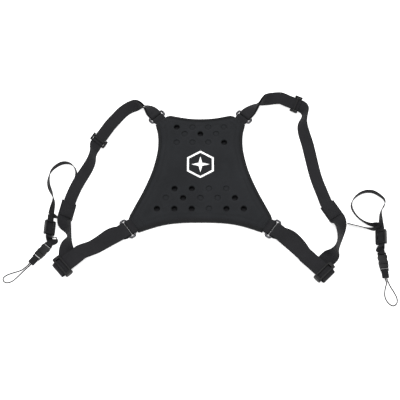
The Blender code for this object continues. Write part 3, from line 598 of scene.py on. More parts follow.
def make_strip(name, path, width, thickness, look, body, slot, node):
    """A woven strap or tape through the sections of its path."""
    profile = band_profile(width, thickness)
    sections = rested(path, width, thickness / 2)
    rings = []
    for section, (_, out) in zip(sections, facing(sections)):
        ring = [section.centre + section.across * a + out * b for a, b in profile]
        rise = max(0.0, 0.05 * MM - min(point.z for point in ring))
        rings.append([point + UP * rise for point in ring])
    marks = [[(a, run) for a, _ in profile] for run in runs(centres_of(sections))]
    strip = put(loft(name, rings, marks, look), body, slot, node)
    runs(centres_of(path))[-1]


def stitches(name, lines, body, slot, stitch):
    """Rows of short stitches.  Each line is a list of (point, outward direction)."""
    length, gap = stitch
    bm = bmesh.new()
    for line in lines:
        total = runs([spot for spot, _ in line])[-1]
        count = max(1, round(total / (length + gap)))
        pitch = total / count
        for k in range(count):
            add_stitch(bm, line, k * pitch + gap / 2, pitch - gap)
    put(mesh_object(name, bm, SEWING, smooth=80), body, slot)


def on_line(line, distance):
    """The place and outward direction at a distance along a line."""
    for (a, up_a), (b, up_b) in zip(line, line[1:]):
        span = (b - a).length
        if distance <= span or b is line[-1][0]:
            t = min(1.0, distance / span) if span else 0.0
            return a.lerp(b, t), up_a.lerp(up_b, t).normalized()
        distance -= span


def add_stitch(bm, line, begin, length, sides=6, rings=5):
    """One stitch: a short thread that comes up out of the cloth and goes down again."""
    places = [on_line(line, begin + length * i / (rings - 1)) for i in range(rings)]
    along = (places[-1][0] - places[0][0]).normalized()
    loops = []
    for i, (place, out) in enumerate(places):
        rise = math.sin(math.pi * i / (rings - 1))
        centre = place + out * (THREAD * (0.9 * rise - 0.5))
        thick = THREAD * (0.55 + 0.45 * rise)
        loops.append(circle(centre, thick, sides, side=out.cross(along).normalized(), up=out))
    skin(bm, loops)


def plain_line(points, out, spacing=1.5 * MM):
    """A line of stitching through the points, all with the same outward direction."""
    return [(point, out) for point in spaced(points, spacing)]


def box_line(near, far, half):
    """A sewn box with one diagonal, as (along, across)."""
    return [(near, -half), (near, half), (far, half), (far, -half), (near, -half), (far, half)]


# --- Routes, repeated from the CAD model ---
CORNERS = {
    "left_upper": Frame(-72.7, 100.5, 4.6, 131.3),
    "right_upper": Frame(72.7, 100.5, 4.6, 48.7),
    "left_lower": Frame(-114, -104.3, 4.6, 215.6),
    "right_lower": Frame(114, -104.3, 4.6, -35.6),
}

LEFT = {
    "shoulder_slider": Frame(-166.5, 52.5, 9.8, 239.3, roll=155),
    "side_slider": Frame(-211.5, -167.8, 6.7, 221),
    "joint": Frame(-210, -72, 8.6, 259, roll=-30),
    "shoulder_doubled": [(-88.5, 115.5, 38, 0.3, 3.6), (-97.5, 119.5, 76, 0.3, 3.2),
                         (-107, 120.5, 120, 0.3, 3.0), (-116, 119.5, 152, 0.3, 2.6),
                         (-124, 116, 168, 0.3, 2.0), (-131, 109, 162, 0.3, 1.8),
                         (-138.5, 98.5, 156)],
    "shoulder_straight": 34 * MM,
    "shoulder_run": [(-174.5, 31, 110), (-177, 15, 128), (-185, -2.5, 144), (-194, -21, 148, 2.5),
                     (-202, -41, 149, 3.0)],
    "side_doubled": [(-134, -115.5, 0, 0.3, 2.0, -5), (-152, -126.5, 0, 0.3, 2.0, -3),
                     (-168, -136, 0, 0.6, 2.0, -1)],
    "side_straight": 38 * MM,
    "side_under": [(-209, -160.5, 0), (-207, -151, 0), (-208.3, -142.5, 0)],
    "side_run": [(-207.5, -132.5, -26), (-204, -120.5, -68), (-205.3, -107.5, -64),
                 (-210, -98.5, -44)],
}

RIGHT = {
    "shoulder_slider": Frame(160.5, 121.9, 9.8, -25, roll=-155),
    "side_slider": Frame(189.5, -177.5, 6.7, -45.4),
    "joint": Frame(207.5, -72, 4.6, -60, roll=10),
    "shoulder_doubled": [(86.5, 114, -22, 0.3, 3.6), (95, 121, -55, 0.3, 3.2),
                         (103.5, 127.5, -92, 0.3, 3.0), (112.5, 132.5, -128, 0.3, 2.8),
                         (122, 134.5, -150, 1.5, 2.4)],
    "shoulder_straight": 30 * MM,
    "shoulder_run": [(175.5, 112, -132), (174.5, 102, -112), (169, 87, -135), (171, 70, -155),
                     (176, 50, -165), (181.5, 18, -175), (187, -12, 180), (192, -30, 182),
                     (198, -50, 186)],
    "side_doubled": [(133, -118.5, 0, 0.3, 2.0, 6), (149, -134, 0, 0.6, 2.0, 5)],
    "side_straight": 40 * MM,
    "side_under": [(186.8, -173.5, 0), (187.2, -165.5, 0), (191.8, -158, 0), (198.5, -152.8, 10)],
    "side_run": [(205.8, -149, 44), (210.5, -142, 76), (214, -132, 76),
                 (216.8, -119, 64), (218.3, -107.5, 48), (218.8, -98, 28)],
}

LEFT_TETHER = {
    "slider": Frame(-236, -104, 8.2, 269, roll=-35),
    "buckle": Frame(-236.5, -131, 3.1, 230.5),
    "above": 20 * MM,              # straight tape above the slider's middle
    "outs": (-0.65, 0.65),
    "hidden": [(-221.5, -84, 88), (-218.6, -70, 90), (-216, -58, 90), (-209.8, -39, 90),
               (-202.5, -19, 90), (-200.5, -8, 84), (-202, 1, 78), (-206.5, 8.5, 76),
               (-214.5, 13, 86), (-224, 13, 92), (-234.5, 7, 92), (-242.5, -3, 82), (-245, -15, 62),
               (-243.5, -29, 58), (-237.5, -42, 72), (-233.5, -54, 100), (-235.2, -69, 132)],
    "down": [(-236, -122, -14)],
    "curl": [(-229, -127, 48), (-223.8, -126, 72), (-221.6, -121.8, 86), (-225, -118.6, 84, 2),
             (-231, -121, 46, 4.5)],
    "link": [(-231.6, -81.5, 62), (-227, -83, 92), (-222.5, -88, 96)],
    "cord": [(-275, -172), (-287, -176.5), (-297, -180.5), (-302, -185), (-301.5, -190),
             (-296.5, -193), (-289, -191), (-282, -185), (-274.5, -176.5)],
}

RIGHT_TETHER = {
    "slider": Frame(281.5, -120, 8.2, 266, roll=35),
    "buckle": Frame(281, -145.5, 3.1, 274),
    "above": 16 * MM,
    "outs": (-1.3, 0.0, 1.3),
    "thin": [(231, -94.5, 112), (235.5, -96, 112), (241, -97.5, 112), (249, -99.5, 112),
             (257, -102, 112), (265, -104, 100), (273.5, -105, 72)],
    "bulge": [(277.3, -136, 48, 4.5), (272.6, -136.6, 82, 1.5), (271.2, -138.8, 90, 0.5),
              (273.8, -140.6, 70, 1.5), (277.2, -139.8, 34, 3.2)],
    "up": [],
    "loop": [(283.8, -96, 130), (284.5, -87, 112), (284.8, -77, 98), (288.5, -68.5, 90),
             (294, -61, 84), (293.5, -53, 82), (286.5, -46, 88), (277, -39.5, 92),
             (267, -38.5, 94), (258, -41, 94), (250, -46, 92), (243, -53.5, 88), (239.5, -62.5, 86),
             (242, -74, 96), (250, -86, 104), (259, -93, 100), (268.5, -97.5, 84),
             (278, -97, 56)],
    "cord": [(284.5, -193), (281.5, -203), (280, -214), (282, -222), (286.5, -228), (292, -230),
             (297, -226), (298, -218), (294.5, -208.5), (290, -199.5)],
}



# --- Pad ---
TOP_EDGE = [(0, 95.5), (23, 97), (39, 100), (49, 102), (56, 102)]
RIGHT_EDGE = [(75, 84), (71.5, 73), (69.5, 56), (70.5, 34), (77.5, 0), (90, -34.5), (104, -65),
              (114, -86)]
BOTTOM_EDGE = [(96.5, -110.5), (84, -105.5), (58, -97.5), (34, -94), (0, -93)]


def curve_through(points, step):
    flat = [Section(Vector(mm(x, y, 0)), UP) for x, y in points]
    return [centre.xy for centre in centres_of(smoothed(flat, step))]


def mirrored(edge):
    return [(-x, y) for x, y in edge]


def pad_edges(step=STEP):
    """The four edges in order round the pad, anticlockwise from the bottom left corner."""
    edges = {"bottom": mirrored(BOTTOM_EDGE) + BOTTOM_EDGE[-2::-1], "right": RIGHT_EDGE[::-1],
             "top": TOP_EDGE[::-1] + mirrored(TOP_EDGE[1:]), "left": mirrored(RIGHT_EDGE)}
    return {name: curve_through(points, step) for name, points in edges.items()}


def inward(edge):
    """The direction into the pad at each point of an edge."""
    return [Vector((-way.y, way.x)).normalized() for way in tangents(edge)]


def pad_outline(inset, step=STEP):
    outline = []
    for edge in pad_edges(step).values():
        outline += [point + into * inset for point, into in zip(edge, inward(edge))]
    return spaced_loop(outline, step)


def hole_centres():
    for rows, pitch in ((UPPER_HOLES, UPPER_PITCH), (LOWER_HOLES, LOWER_PITCH)):
        for y, count in rows:
            for i in range(count):
                yield Vector(((i - (count - 1) / 2) * pitch, y * MM))


def tree_of(points):
    tree = kdtree.KDTree(len(points))
    for i, point in enumerate(points):
        tree.insert((point.x, point.y, 0), i)
    tree.balance()
    return tree


SHELL_EDGE = pad_outline(SHELL_INSET)
EDGE_TREE = tree_of(pad_outline(SHELL_INSET, STEP / 2))
HOLE_TREE = tree_of(list(hole_centres()))


def uneven(x, y, layer, scale):
    """Slow bumps from -1 to 1, different for each layer."""
    return noise.noise(Vector((x, y, layer)) * scale)


def rolled_off(distance, radius):
    """How far an edge rounded to a radius has dropped at a distance from its end."""
    return radius - math.sqrt(max(0.0, radius ** 2 - max(0.0, radius - distance) ** 2))


def face_height(x, y):
    """Height of the pad's face: crowned, gently uneven, rolled over at its edge and at each hole."""
    edge = EDGE_TREE.find((x, y, 0))[2]
    lip = max(0.0, HOLE_TREE.find((x, y, 0))[2] - HOLE_RADIUS)
    bumps = 0.35 * MM * uneven(x, y, 0, 38) + 0.12 * MM * uneven(x, y, 1, 110)
    height = FACE_EDGE + CROWN * (1 - math.exp(-(edge / CROWN_REACH) ** 2))
    height += bumps * min(1.0, edge / CROWN_REACH)
    height -= HOLE_DIMPLE * math.exp(-(lip / DIMPLE_REACH) ** 2)
    return height - rolled_off(edge, EDGE_ROLL) - rolled_off(lip, LIP_ROLL)


def lattice(outline, spacing):
    """A staggered grid of points over an outline's box."""
    low, high = (Vector((pick(p.x for p in outline), pick(p.y for p in outline))) for pick in (min, max))
    row, y = 0, low.y
    while y < high.y:
        x = low.x + (row % 2) * spacing / 2
        while x < high.x:
            yield Vector((x, y))
            x += spacing
        y += spacing * 0.87
        row += 1


def slab(name, outline, holes, spacing, top, bottom, look, wall=None, extra=(), wall_steps=1):
    """A closed slab between two heights given by functions of the place, with vertical walls."""
    points, loops = [], []
    for loop in [outline, *holes]:
        loops.append(list(range(len(points), len(points) + len(loop))))
        points += loop
    points += extra
    taken = tree_of(points)
    points += [spot for spot in lattice(outline, spacing)
               if taken.find((spot.x, spot.y, 0))[2] > 0.62 * spacing]
    edges = [pair for loop in loops for pair in zip(loop, loop[1:] + loop[:1])]
    flat, _, faces, _, _, owners = geometry.delaunay_2d_cdt(points, edges, loops, 0, 1e-7)
    kept = [face for face, owner in zip(faces, owners) if list(owner) == [0]]
    count = len(flat)
    places = [Vector((p.x, p.y, height(p.x, p.y))) for height in (top, bottom) for p in flat]
    solid = kept + [[i + count for i in reversed(face)] for face in kept]
    walls = wall_faces(kept, places, count, wall_steps)
    used = sorted({i for face in solid + walls for i in face})
    order = {old: new for new, old in enumerate(used)}
    mesh = bpy.data.meshes.new(name)
    mesh.from_pydata([places[i] for i in used], [], [[order[i] for i in face] for face in solid + walls])
    made = finished(name, mesh, look, smooth=60)
    if wall:
        mesh.materials.append(wall)
        for polygon in mesh.polygons[len(solid):]:
            polygon.material_index = 1
    return made


def wall_faces(faces, places, count, steps):
    """Quads down each open edge of the top sheet; the points between are added to places."""
    sides = {side: None for face in faces for side in zip(face, face[1:] + face[:1])}
    open_sides = [(a, b) for a, b in sides if (b, a) not in sides]
    column = {}
    for a, _ in open_sides:
        between = range(len(places), len(places) + steps - 1)
        places += [places[a].lerp(places[a + count], k / steps) for k in range(1, steps)]
        column[a] = [a, *between, a + count]
    return [(column[a][k], column[a][k + 1], column[b][k + 1], column[b][k])
            for a, b in open_sides for k in range(steps)]


def make_pad_shell():
    """The padded body: knitted face over foam, with the vent holes down to the lining."""
    holes = [circle(centre, HOLE_RADIUS, HOLE_SIDES) for centre in hole_centres()]
    rings = [spot for centre in hole_centres() for k, reach in enumerate((0.15, 0.4, 0.8, 1.3, 2.1))
             for spot in circle(centre, HOLE_RADIUS + reach * MM, HOLE_SIDES, 180 / HOLE_SIDES * (k % 2))]
    shell = slab("pad_shell", SHELL_EDGE, holes, 2.4 * MM, face_height, lambda x, y: FOAM_BOTTOM, FACE,
                 wall=FOAM, extra=rings, wall_steps=4)
    put(shell, "harness", "pad_face", "pad_face", "pad_foam")


def make_foam_domes():
    """In the holes that aren't open the foam has risen to just under the face."""
    bm = bmesh.new()
    for number, centre in enumerate(hole_centres()):
        if number in OPEN_HOLES:
            continue
        rim = face_height(centre.x + HOLE_RADIUS + DIMPLE_REACH, centre.y) - DOME_DEPTH
        profile = [(share, rim + DOME_RISE * (1 - share ** 2))
                   for share in (1.0, 0.85, 0.65, 0.45, 0.25, 0.08)]
        skin(bm, [[(*spot, height) for spot in circle(centre, (HOLE_RADIUS - 0.1 * MM) * share, HOLE_SIDES)]
                  for share, height in [(1.0, rim - 2 * MM), *profile]])
    put(mesh_object("pad_foam_domes", bm, FACE), "harness", "pad_face")


def make_lining():
    """The lining against the back: a flat knitted sheet whose edge goes into the binding."""
    lining = slab("pad_back_lining", pad_outline(LINING_INSET), [], 4 * MM,
                  lambda x, y: 1.15 * MM + 0.05 * MM * uneven(x, y, 3, 160),
                  lambda x, y: 0.02 * MM, LINING)
    put(lining, "harness", "pad_lining", "pad_lining")


def binding_profile(top, tuck):
    """The binding's section, (reach into the pad, height): out round the edge and back inside.
    tuck, from 0 to 1, draws it into the pad where it is cut."""
    middle, skim = top / 2, 0.02 * MM
    outer = [(BINDING_LIP, 0.05 * MM), (4.0 * MM, skim)]
    for i in range(9):
        angle = math.radians(-90 - 180 * i / 8)
        bulge = math.copysign(abs(math.sin(angle)) ** 0.75, math.sin(angle))
        outer.append((BINDING_SIDE * (1 + math.cos(angle)), middle + (middle - skim) * bulge))
    outer += [(BINDING_LIP - 0.3 * MM, top + 0.15 * MM), (BINDING_LIP, top - 0.05 * MM)]
    inner = [(min(max(reach + BINDING_CLOTH * 0.9, BINDING_CLOTH), BINDING_LIP),
              min(max(height, BINDING_CLOTH), top - BINDING_CLOTH)) for reach, height in outer[1:-1]]
    return [(reach + 1.8 * MM * tuck, middle + (height - middle) * (1 - 0.4 * tuck))
            for reach, height in outer + inner[::-1]]


def make_binding(name, edge):
    """Grosgrain tape folded over one edge of the pad, slightly puckered by its seam."""
    rings, upper, lower = [], [], []
    for point, into, run in zip(edge, inward(edge), runs(edge)):
        inside = point + into * (BINDING_LIP + 0.5 * MM)
        pucker = 0.14 * MM * math.sin(2 * math.pi * run / (3.4 * MM)) + 0.3 * MM * uneven(*point, 5, 60)
        top = face_height(*inside) + 0.55 * MM + pucker
        to_end = min(run, runs(edge)[-1] - run)
        profile = binding_profile(top, max(0.0, 1 - to_end / CUT_TAPER) ** 2)
        rings.append([Vector((*(point + into * reach), height)) for reach, height in profile])
        seam = point + into * (BINDING_LIP - 1.3 * MM)
        upper.append((Vector((*seam, top + 0.1 * MM)), UP))
        lower.append((Vector((*seam, 0.28 * MM)), -UP))
    marks = [[(0.0, run)] * len(rings[0]) for run in runs(edge)]
    made = loft(f"binding_{name}", rings, marks, GROSGRAIN, smooth=70)
    put(made, "harness", "pad_binding", f"pad_binding_{name}")
    stitches(f"binding_{name}_stitching", [upper, lower], "harness", "pad_binding", EDGE_STITCH)


def make_print(name, node, *outlines):
    """A printed shape that lies on the face.  Outlines after the first are holes in it."""
    outline, *holes = (spaced_loop(corners, PRINT_STEP) for corners in outlines)
    made = slab(name, outline, holes, PRINT_CELL, lambda x, y: face_height(x, y) + 0.16 * MM,
                lambda x, y: face_height(x, y) - 0.2 * MM, PRINT)
    put(made, "harness", "emblem", node)


def make_emblem():
    """The generic mark: a hexagon's outline and a four-pointed star, printed on the face."""
    centre = Vector((0, EMBLEM_Y))
    make_print("emblem_hexagon", "emblem_outline", circle(centre, EMBLEM_RADIUS, 6, 30),
               circle(centre, EMBLEM_RADIUS - EMBLEM_LINE, 6, 30))
    tips, waists = circle(centre, STAR_POINT, 4), circle(centre, STAR_WAIST, 4, 45)
    make_print("emblem_star_print", "emblem_star", [spot for pair in zip(tips, waists) for spot in pair])


def width_at(corner):
    return SHOULDER_WIDTH if corner.endswith("upper") else SIDE_WIDTH


def make_corner_seams(corner):
    """A sewn box and a bar across the end of a tab, where it goes into the pad."""
    half = width_at(corner) / 2 - 2 * MM
    near, far, bar = (-RING_BAR - reach * MM for reach in (11, 21, 8.8))
    lines = []
    for route in (box_line(near, far, half), [(bar, -half), (bar, half)]):
        flat = plain_line([CORNERS[corner].at(*spot) for spot in route], UP)
        lines.append([(Vector((p.x, p.y, face_height(p.x, p.y) + 0.08 * MM)), up) for p, up in flat])
    stitches(f"{corner}_tab_stitching", lines, "harness", "pad_face", BOX_STITCH)


# --- Rings and tabs ---
def make_ring(corner):
    """A rectangular ring of round wire, with a butt weld on the bar under the tab."""
    half = width_at(corner) / 2 + RING_END_GAP + WIRE_RADIUS
    path = []
    for x, y, start in ((1, 1, 0), (-1, 1, 90), (-1, -1, 180), (1, -1, 270)):
        for i in range(7):
            angle = math.radians(start + 15 * i)
            path.append(Vector((x * (RING_BAR - RING_CORNER) + RING_CORNER * math.cos(angle),
                                y * (half - RING_CORNER) + RING_CORNER * math.sin(angle), 0)))
    path = spaced_loop(path, 2 * MM)
    rings = []
    for i, spot in enumerate(path):
        along = (path[(i + 1) % len(path)] - path[i - 1]).normalized()
        weld = 1.04 if abs(spot.y) < 1.2 * MM and spot.x < 0 else 1.0
        rings.append(circle(spot, WIRE_RADIUS * weld, 20, side=along.cross(UP), up=UP))
    bm = bmesh.new()
    skin(bm, rings, closed=True)
    bm.transform(CORNERS[corner].matrix())
    name = f"{corner}_ring"
    put(mesh_object(f"{corner}_wire_ring", bm, METAL, smooth=80), name, "ring_metal", name)


def make_tab(corner):
    """The webbing tab that holds the ring's inner bar, folded and sewn into the pad."""
    place = CORNERS[corner]
    reaches = [RING_BAR + reach * MM for reach in (19, 11, 6)]
    low = [place.section(-reach, -TAB_SOFT_Z) for reach in reaches]
    high = [place.section(-reach, TAB_SOFT_Z) for reach in reversed(reaches)]
    path = round_bar(low, turned(place, -RING_BAR, 0, TAB_FOLD, -90, 90, steps=12), high, STEP)
    make_strip(f"{corner}_webbing_tab", path, width_at(corner), WEBBING, TAB, "harness", "tab_webbing",
               f"{corner}_tab")


# --- Hardware ---
def cuboid(xs, ys, zs, round_y=0.0):
    """A box between pairs of places; round_y rounds the four edges that run across."""
    low, high = (Vector([pick(pair) for pair in (xs, ys, zs)]) for pick in (min, max))
    bm = bmesh.new()
    bmesh.ops.create_cube(bm, size=1)
    bmesh.ops.scale(bm, vec=high - low, verts=bm.verts)
    bmesh.ops.translate(bm, vec=(high + low) / 2, verts=bm.verts)
    if round_y:
        across = [e for e in bm.edges if abs((e.verts[0].co - e.verts[1].co).normalized().y) > 0.99]
        bmesh.ops.bevel(bm, geom=across, offset=round_y, segments=4, profile=0.5, affect="EDGES")
    return bm


def plan_prism(outline, half):
    """A plan outline, (x, y) in millimetres, made half a height up and half a height down."""
    bm = bmesh.new()
    face = bm.faces.new([bm.verts.new((*mm(x, y), -half)) for x, y in outline])
    made = bmesh.ops.extrude_face_region(bm, geom=[face])
    top = [v for v in made["geom"] if isinstance(v, bmesh.types.BMVert)]
    bmesh.ops.translate(bm, vec=(0, 0, 2 * half), verts=top)
    bmesh.ops.recalc_face_normals(bm, faces=bm.faces)
    return bm


def pin_and_posts(x, pin_end, start, end, width):
    """A round bar across the buckle at x for the tape, and the two posts that hold it."""
    pin = bmesh.new()
    bmesh.ops.create_cone(pin, cap_ends=True, segments=24, radius1=PIN_RADIUS, radius2=PIN_RADIUS,
                          depth=2 * (BUCKLE_POST + pin_end))
    bmesh.ops.rotate(pin, matrix=Matrix.Rotation(math.radians(90), 3, "X"), verts=pin.verts)
    bmesh.ops.translate(pin, vec=(x, 0, 0), verts=pin.verts)
    posts = [cuboid(mm(start, end), (y * BUCKLE_POST, y * width * MM), (-PIN_HALF, PIN_HALF))
             for y in (1, -1)]
    return [*posts, pin]


def make_moulding(node, place, base, edge, add=(), cut=()):
    """Join and cut solids given in the frame's own directions, then round every sharp edge."""
    name = f"{node}_moulding"
    made = mesh_object(name, base, PLASTIC)
    tools = []
    for operation, solids in (("UNION", add), ("DIFFERENCE", cut)):
        for number, solid in enumerate(solids):
            tools.append(mesh_object(f"{name}_{operation}_{number}", solid, PLASTIC))
            with_values(made.modifiers.new(tools[-1].name, "BOOLEAN"), operation=operation,
                        solver="EXACT", object=tools[-1])
    with_values(made.modifiers.new("edges", "BEVEL"), width=edge, segments=3, limit_method="ANGLE",
                angle_limit=math.radians(35))
    bpy.context.view_layer.update()
    shaped = bpy.data.meshes.new_from_object(made.evaluated_get(bpy.context.evaluated_depsgraph_get()))
    for unwanted in [made] + tools:
        bpy.data.objects.remove(unwanted, do_unlink=True)
    shaped.transform(place.matrix())
    shaped.materials.clear()
    put(finished(name, shaped, PLASTIC, smooth=40), node, "hardware_plastic", node)


def make_slider(node, place, strap_width, sizes):
    """A three-bar slider: two outer bars over the webbing and a centre bar under it."""
    length, slot_half, bar, rail = sizes
    inner, tall = strap_width / 2 + SLOT_SIDE, slot_half + bar
    ends, outer = inner + rail / 2, length / 2 - BAR_WIDTH / 2 - 0.5 * MM
    rails = [cuboid((-length / 2, length / 2), (side * inner, side * (inner + rail)), (-tall, tall),
                    round_y=0.8 * tall) for side in (1, -1)]
    bars = [cuboid((x - BAR_WIDTH / 2, x + BAR_WIDTH / 2), (-ends, ends), (low, low + bar),
                   round_y=0.7 * MM) for x, low in ((outer, slot_half), (-outer, slot_half), (0, -tall))]
    make_moulding(node, place, rails[0], 0.45 * MM, add=[rails[1], *bars])


def both_sides(outline):
    return outline + [(x, -y) for x, y in reversed(outline)]


def make_buckle(side, place):
    """A small side-release buckle: the socket, and the plug with its two sprung arms and tongue."""
    socket = [(3.4, 6.4), (4.6, 7.25), (8.0, 7.25), (9.4, 6.5), (13.0, 6.5), (14.6, 7.25), (18.0, 7.0)]
    room = cuboid(mm(6.2, 19.0), mm(-5.7, 5.7), mm(-1.6, 1.6))
    windows = cuboid(mm(8.6, 13.6), mm(-9, 9), mm(-1.6, 1.6))
    grips = [cuboid(mm(x - 0.3, x + 0.3), mm(-4.4, 4.4), (z - 0.2 * MM, z + 0.2 * MM))
             for x in (14.8, 16.0, 17.2) for z in (SOCKET_HALF, -SOCKET_HALF)]
    make_moulding(f"{side}_buckle_socket", place, plan_prism(both_sides(socket), SOCKET_HALF), 0.28 * MM,
                  add=pin_and_posts(0, 0.8 * MM, -1.2, 5.0, 6.6) + grips, cut=[room, windows])

    plug = [(18.4, 6.8), (19.4, 7.1), (22.6, 6.8), (24.2, 6.2)]
    arm = [(19.4, 4.9), (13.4, 4.8), (12.8, 5.35), (10.6, 5.35), (9.4, 4.4), (9.4, 3.5), (19.4, 3.4)]
    arms = [plan_prism([(x, y * across) for x, across in arm], ARM_HALF) for y in (1, -1)]
    tongue = cuboid(mm(12, 19.4), mm(-1, 1), mm(-1.1, 1.1))
    make_moulding(f"{side}_buckle_plug", place, plan_prism(both_sides(plug), PLUG_HALF), 0.25 * MM,
                  add=[*arms, tongue, *pin_and_posts(PLUG_PIN, 0.6 * MM, 23.0, 29.0, 6.4)])


def make_cord_tab(side, place):
    """The tape between plug and cord: folded round the plug's bar and sewn to itself."""
    body = f"{side}_buckle_plug"
    ends = (TAB_END, PLUG_PIN + 6 * MM)
    path = round_bar([place.section(x, TAB_LEG) for x in ends],
                     turned(place, PLUG_PIN, 0, PIN_FOLD, 90, 270, steps=10),
                     [place.section(x, -TAB_LEG) for x in reversed(ends)], 1.2 * MM)
    make_strip(f"{side}_cord_tab_tape", path, TETHER_WIDTH, TAPE, TETHER, body, "tether_tape",
               f"{side}_cord_tab")
    face = TAB_LEG + TAPE / 2 + ON_CLOTH
    rows = [plain_line([place.at(x * MM, y * MM, out * face) for y in (-3.6, 3.6)], place.z * out)
            for out in (1, -1) for x in (33.5, 35.0, 38.2)]
    stitches(f"{side}_cord_tab_stitching", rows, body, "tether_tape", BAR_STITCH)


# --- Cords ---
def make_cord(side, place, route):
    """The thin cord loop: both ends come out of the folded tab, side by side."""
    beside = 1.3 * MM
    ends, mouths = ([place.at(TAB_END + x * MM, y) for y in (-beside, beside)] for x in (-5, 2))
    middle = [Vector((x * MM, y * MM, GAP + CORD_RADIUS)) for x, y in route]
    points = [ends[0], mouths[0], *middle, mouths[1], ends[1]]
    path = centres_of(smoothed([Section(point, UP) for point in points], 1.5 * MM))
    curve = with_values(bpy.data.curves.new(f"{side}_cord", "CURVE"), dimensions="3D",
                        bevel_depth=CORD_RADIUS, bevel_resolution=4, use_fill_caps=True)
    spline = curve.splines.new("POLY")
    spline.points.add(len(path) - 1)
    for point, spot in zip(spline.points, path):
        point.co = (*spot, 1)
    curve.materials.append(CORD)
    cord = into_scene(f"{side}_thin_cord", curve)
    put(cord, f"{side}_buckle_plug", "cord", f"{side}_cord_loop")
    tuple(ends[0])
    round(runs(path)[-1], 3)


# --- Main straps ---
def doubled(ring, slider, route, width, run):
    """The middle of a doubled strap, from the ring's outer bar to the slider."""
    half_pack = (LAYER_PITCH + WEBBING) / 2
    before, on_bar = (ring.section(RING_BAR + x * MM, gap=2 * STRAP_FOLD) for x in (-5, 0))
    count = max(2, round(run / (12 * MM)))
    at_slider = [slider.section(-run * (count - i) / count) for i in range(count + 1)]
    route = [on_bar, ring.section(RING_BAR + 6 * MM, gap=5.2 * MM), *route, *at_slider]
    sections = smoothed(laid(route, width, half_pack), STEP, before=before)
    return rested(eased(sections, WEBBING_EASE), width, half_pack)


def strap_path(middle, ring, slider, single, width):
    """Tail, back layer, fold round the ring, front layer, and the single run after the slider."""
    fold = turned(ring, RING_BAR, 0, STRAP_FOLD, -90, -270, steps=14)
    back, front = layer(middle, -1)[::-1], layer(middle, 1)
    tail = [slider.section(along, -LAYER_PITCH / 2) for along in (TAIL, TAIL / 2)]
    run = smoothed(laid([front[-1]] + single, width, WEBBING / 2), STEP, before=front[-2])
    return tail + back + fold[1:-1] + front + eased(run, WEBBING_EASE)[1:]


def put_strap(name, path, width, slider, sizes):
    make_strip(f"{name}_webbing", path, width, WEBBING, WEB, "harness", "webbing", f"{name}_strap")
    make_slider(f"{name}_slider", slider, width, sizes)


def make_shoulder_strap(side, data):
    """From the ring to the slider and back, then on through the slider to the joint."""
    ring, slider, joint = CORNERS[f"{side}_upper"], data["shoulder_slider"], data["joint"]
    middle = doubled(ring, slider, data["shoulder_doubled"], SHOULDER_WIDTH, data["shoulder_straight"])
    leaving = [slider.section(s * MM, LAYER_PITCH / 2) for s in (7, 11)]
    end = [joint.section(s * MM, LAYER_PITCH / 2) for s in (-16, -3, 13)]
    path = strap_path(middle, ring, slider, leaving + data["shoulder_run"] + end, SHOULDER_WIDTH)
    put_strap(f"{side}_shoulder", path, SHOULDER_WIDTH, slider, SHOULDER_SLIDER)


def make_side_strap(side, data):
    """As the shoulder strap, but after the slider it turns down and goes back under itself."""
    ring, slider, joint = CORNERS[f"{side}_lower"], data["side_slider"], data["joint"]
    middle = doubled(ring, slider, data["side_doubled"], SIDE_WIDTH, data["side_straight"])
    floor = GAP + WEBBING / 2
    pivot = slider.at(TURN_BACK)
    radius = (slider.at(TURN_BACK, 0, LAYER_PITCH / 2).z - floor) / 2
    heading = math.degrees(math.atan2(slider.x.y, slider.x.x))
    level = Frame(pivot.x / MM, pivot.y / MM, (floor + radius) / MM, heading)
    fold = turned(level, 0, 0, radius, 90, -90, steps=14)
    start = [slider.section(5.5 * MM, LAYER_PITCH / 2), fold[0]]
    head = strap_path(middle, ring, slider, start, SIDE_WIDTH)
    under = [fold[-1], level.section(-6 * MM, -radius), *data["side_under"]]
    end = [joint.section(s * MM, -LAYER_PITCH / 2) for s in (19, 13, 3, -13)]
    rest = smoothed(laid(under + data["side_run"] + end, SIDE_WIDTH, WEBBING / 2), STEP, before=fold[-2])
    path = head + fold[1:-1] + eased(rest, WEBBING_EASE)
    put_strap(f"{side}_side", path, SIDE_WIDTH, slider, SIDE_SLIDER)


def make_joint_seam(side, joint):
    """A sewn box with both diagonals and two bars, where the two straps lie on each other."""
    half, near, far = SHOULDER_WIDTH / 2 - 2.2 * MM, -9 * MM, 10 * MM
    face = LAYER_PITCH / 2 + WEBBING / 2 + ON_CLOTH
    routes = [box_line(near, far, half) + [(far, -half), (near, half)]]
    routes += [[(x * MM, -half), (x * MM, half)] for x in (-11, 11.8)]
    rows = [plain_line([joint.at(x, y, face) for x, y in route], joint.z) for route in routes]
    stitches(f"{side}_joint_stitching", rows, "harness", "webbing", BOX_STITCH)


# --- Tethers ---
def tape_path(parts):
    """Join stretches of tape: lists of fixed sections, and lists of free points between them."""
    result = []
    for i, part in enumerate(parts):
        if part and isinstance(part[0], Section):
            result += part
            continue
        before = parts[i - 1] if i else None
        after = parts[i + 1] if i + 1 < len(parts) else None
        route = ([before[-1]] if before else []) + part + ([after[0]] if after else [])
        run = smoothed(laid(route, TETHER_WIDTH, TAPE / 2), STEP, before=before[-2] if before else None,
                       after=after[1] if after else None)
        result += run[1 if before else 0:-1 if after else None]
    return eased(result, TAPE_EASE)


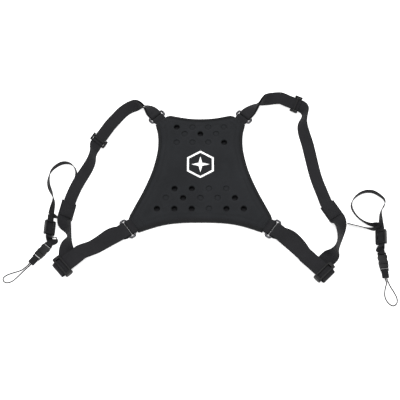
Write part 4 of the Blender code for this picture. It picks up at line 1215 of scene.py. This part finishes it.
def round_socket_bar(buckle, side):
    """Tape held round the socket's bar.  It comes in over the bar where side is 1, under it at -1."""
    lead = [buckle.section(s * MM, side * PIN_FOLD) for s in (-5, -2.5)]
    fold = turned(buckle, 0, 0, PIN_FOLD, 90 * side, -90 * side, steps=10)
    return lead + fold + [buckle.section(s * MM, -side * PIN_FOLD) for s in (-2.5, -5)]


def make_tether_tape(side, data):
    """Both tapes go down through the slider, round the buckle's bar and up again.  The left one
    has its loop before that and ends in the joint; the right one has it after and ends in the slider."""
    def through(number, upwards=False):
        out, ends, count = data["outs"][number] * MM, (-data["above"], 14 * MM), 8
        start, end = reversed(ends) if upwards else ends
        return [data["slider"].section(start + (end - start) * i / count, out) for i in range(count + 1)]

    if side == "left":
        parts = [data["hidden"], through(0), data["down"], round_socket_bar(data["buckle"], -1),
                 data["curl"], through(1, upwards=True), data["link"]]
    else:
        parts = [data["thin"], through(2), data["bulge"], round_socket_bar(data["buckle"], 1),
                 data["up"], through(0, upwards=True), data["loop"], through(1)]
    make_strip(f"{side}_tether_webbing", tape_path(parts), TETHER_WIDTH, TAPE, TETHER, "harness",
               "tether_tape", f"{side}_tether_tape")


# --- Everything ---
SIDES = (("left", LEFT, LEFT_TETHER), ("right", RIGHT, RIGHT_TETHER))

make_camera()
for side_name, _, tether in SIDES:
    make_cord(side_name, tether["buckle"], tether["cord"])
make_stage()

make_pad_shell()
make_foam_domes()
make_lining()
for edge_name, edge_line in pad_edges().items():
    make_binding(edge_name, edge_line)
make_emblem()
for corner in CORNERS:
    make_corner_seams(corner)
for corner in CORNERS:
    make_ring(corner)
    make_tab(corner)
for side_name, straps, tether in SIDES:
    make_shoulder_strap(side_name, straps)
    make_side_strap(side_name, straps)
    make_joint_seam(side_name, straps["joint"])
    make_slider(f"{side_name}_tether_slider", tether["slider"], TETHER_WIDTH, TETHER_SLIDER)
    make_buckle(side_name, tether["buckle"])
    make_cord_tab(side_name, tether["buckle"])
for side_name, _, tether in SIDES:
    make_tether_tape(side_name, tether)

sizes = {name: [list(corner) for corner in box] for name, box in (("cad", cad_box), ("visual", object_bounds()))}
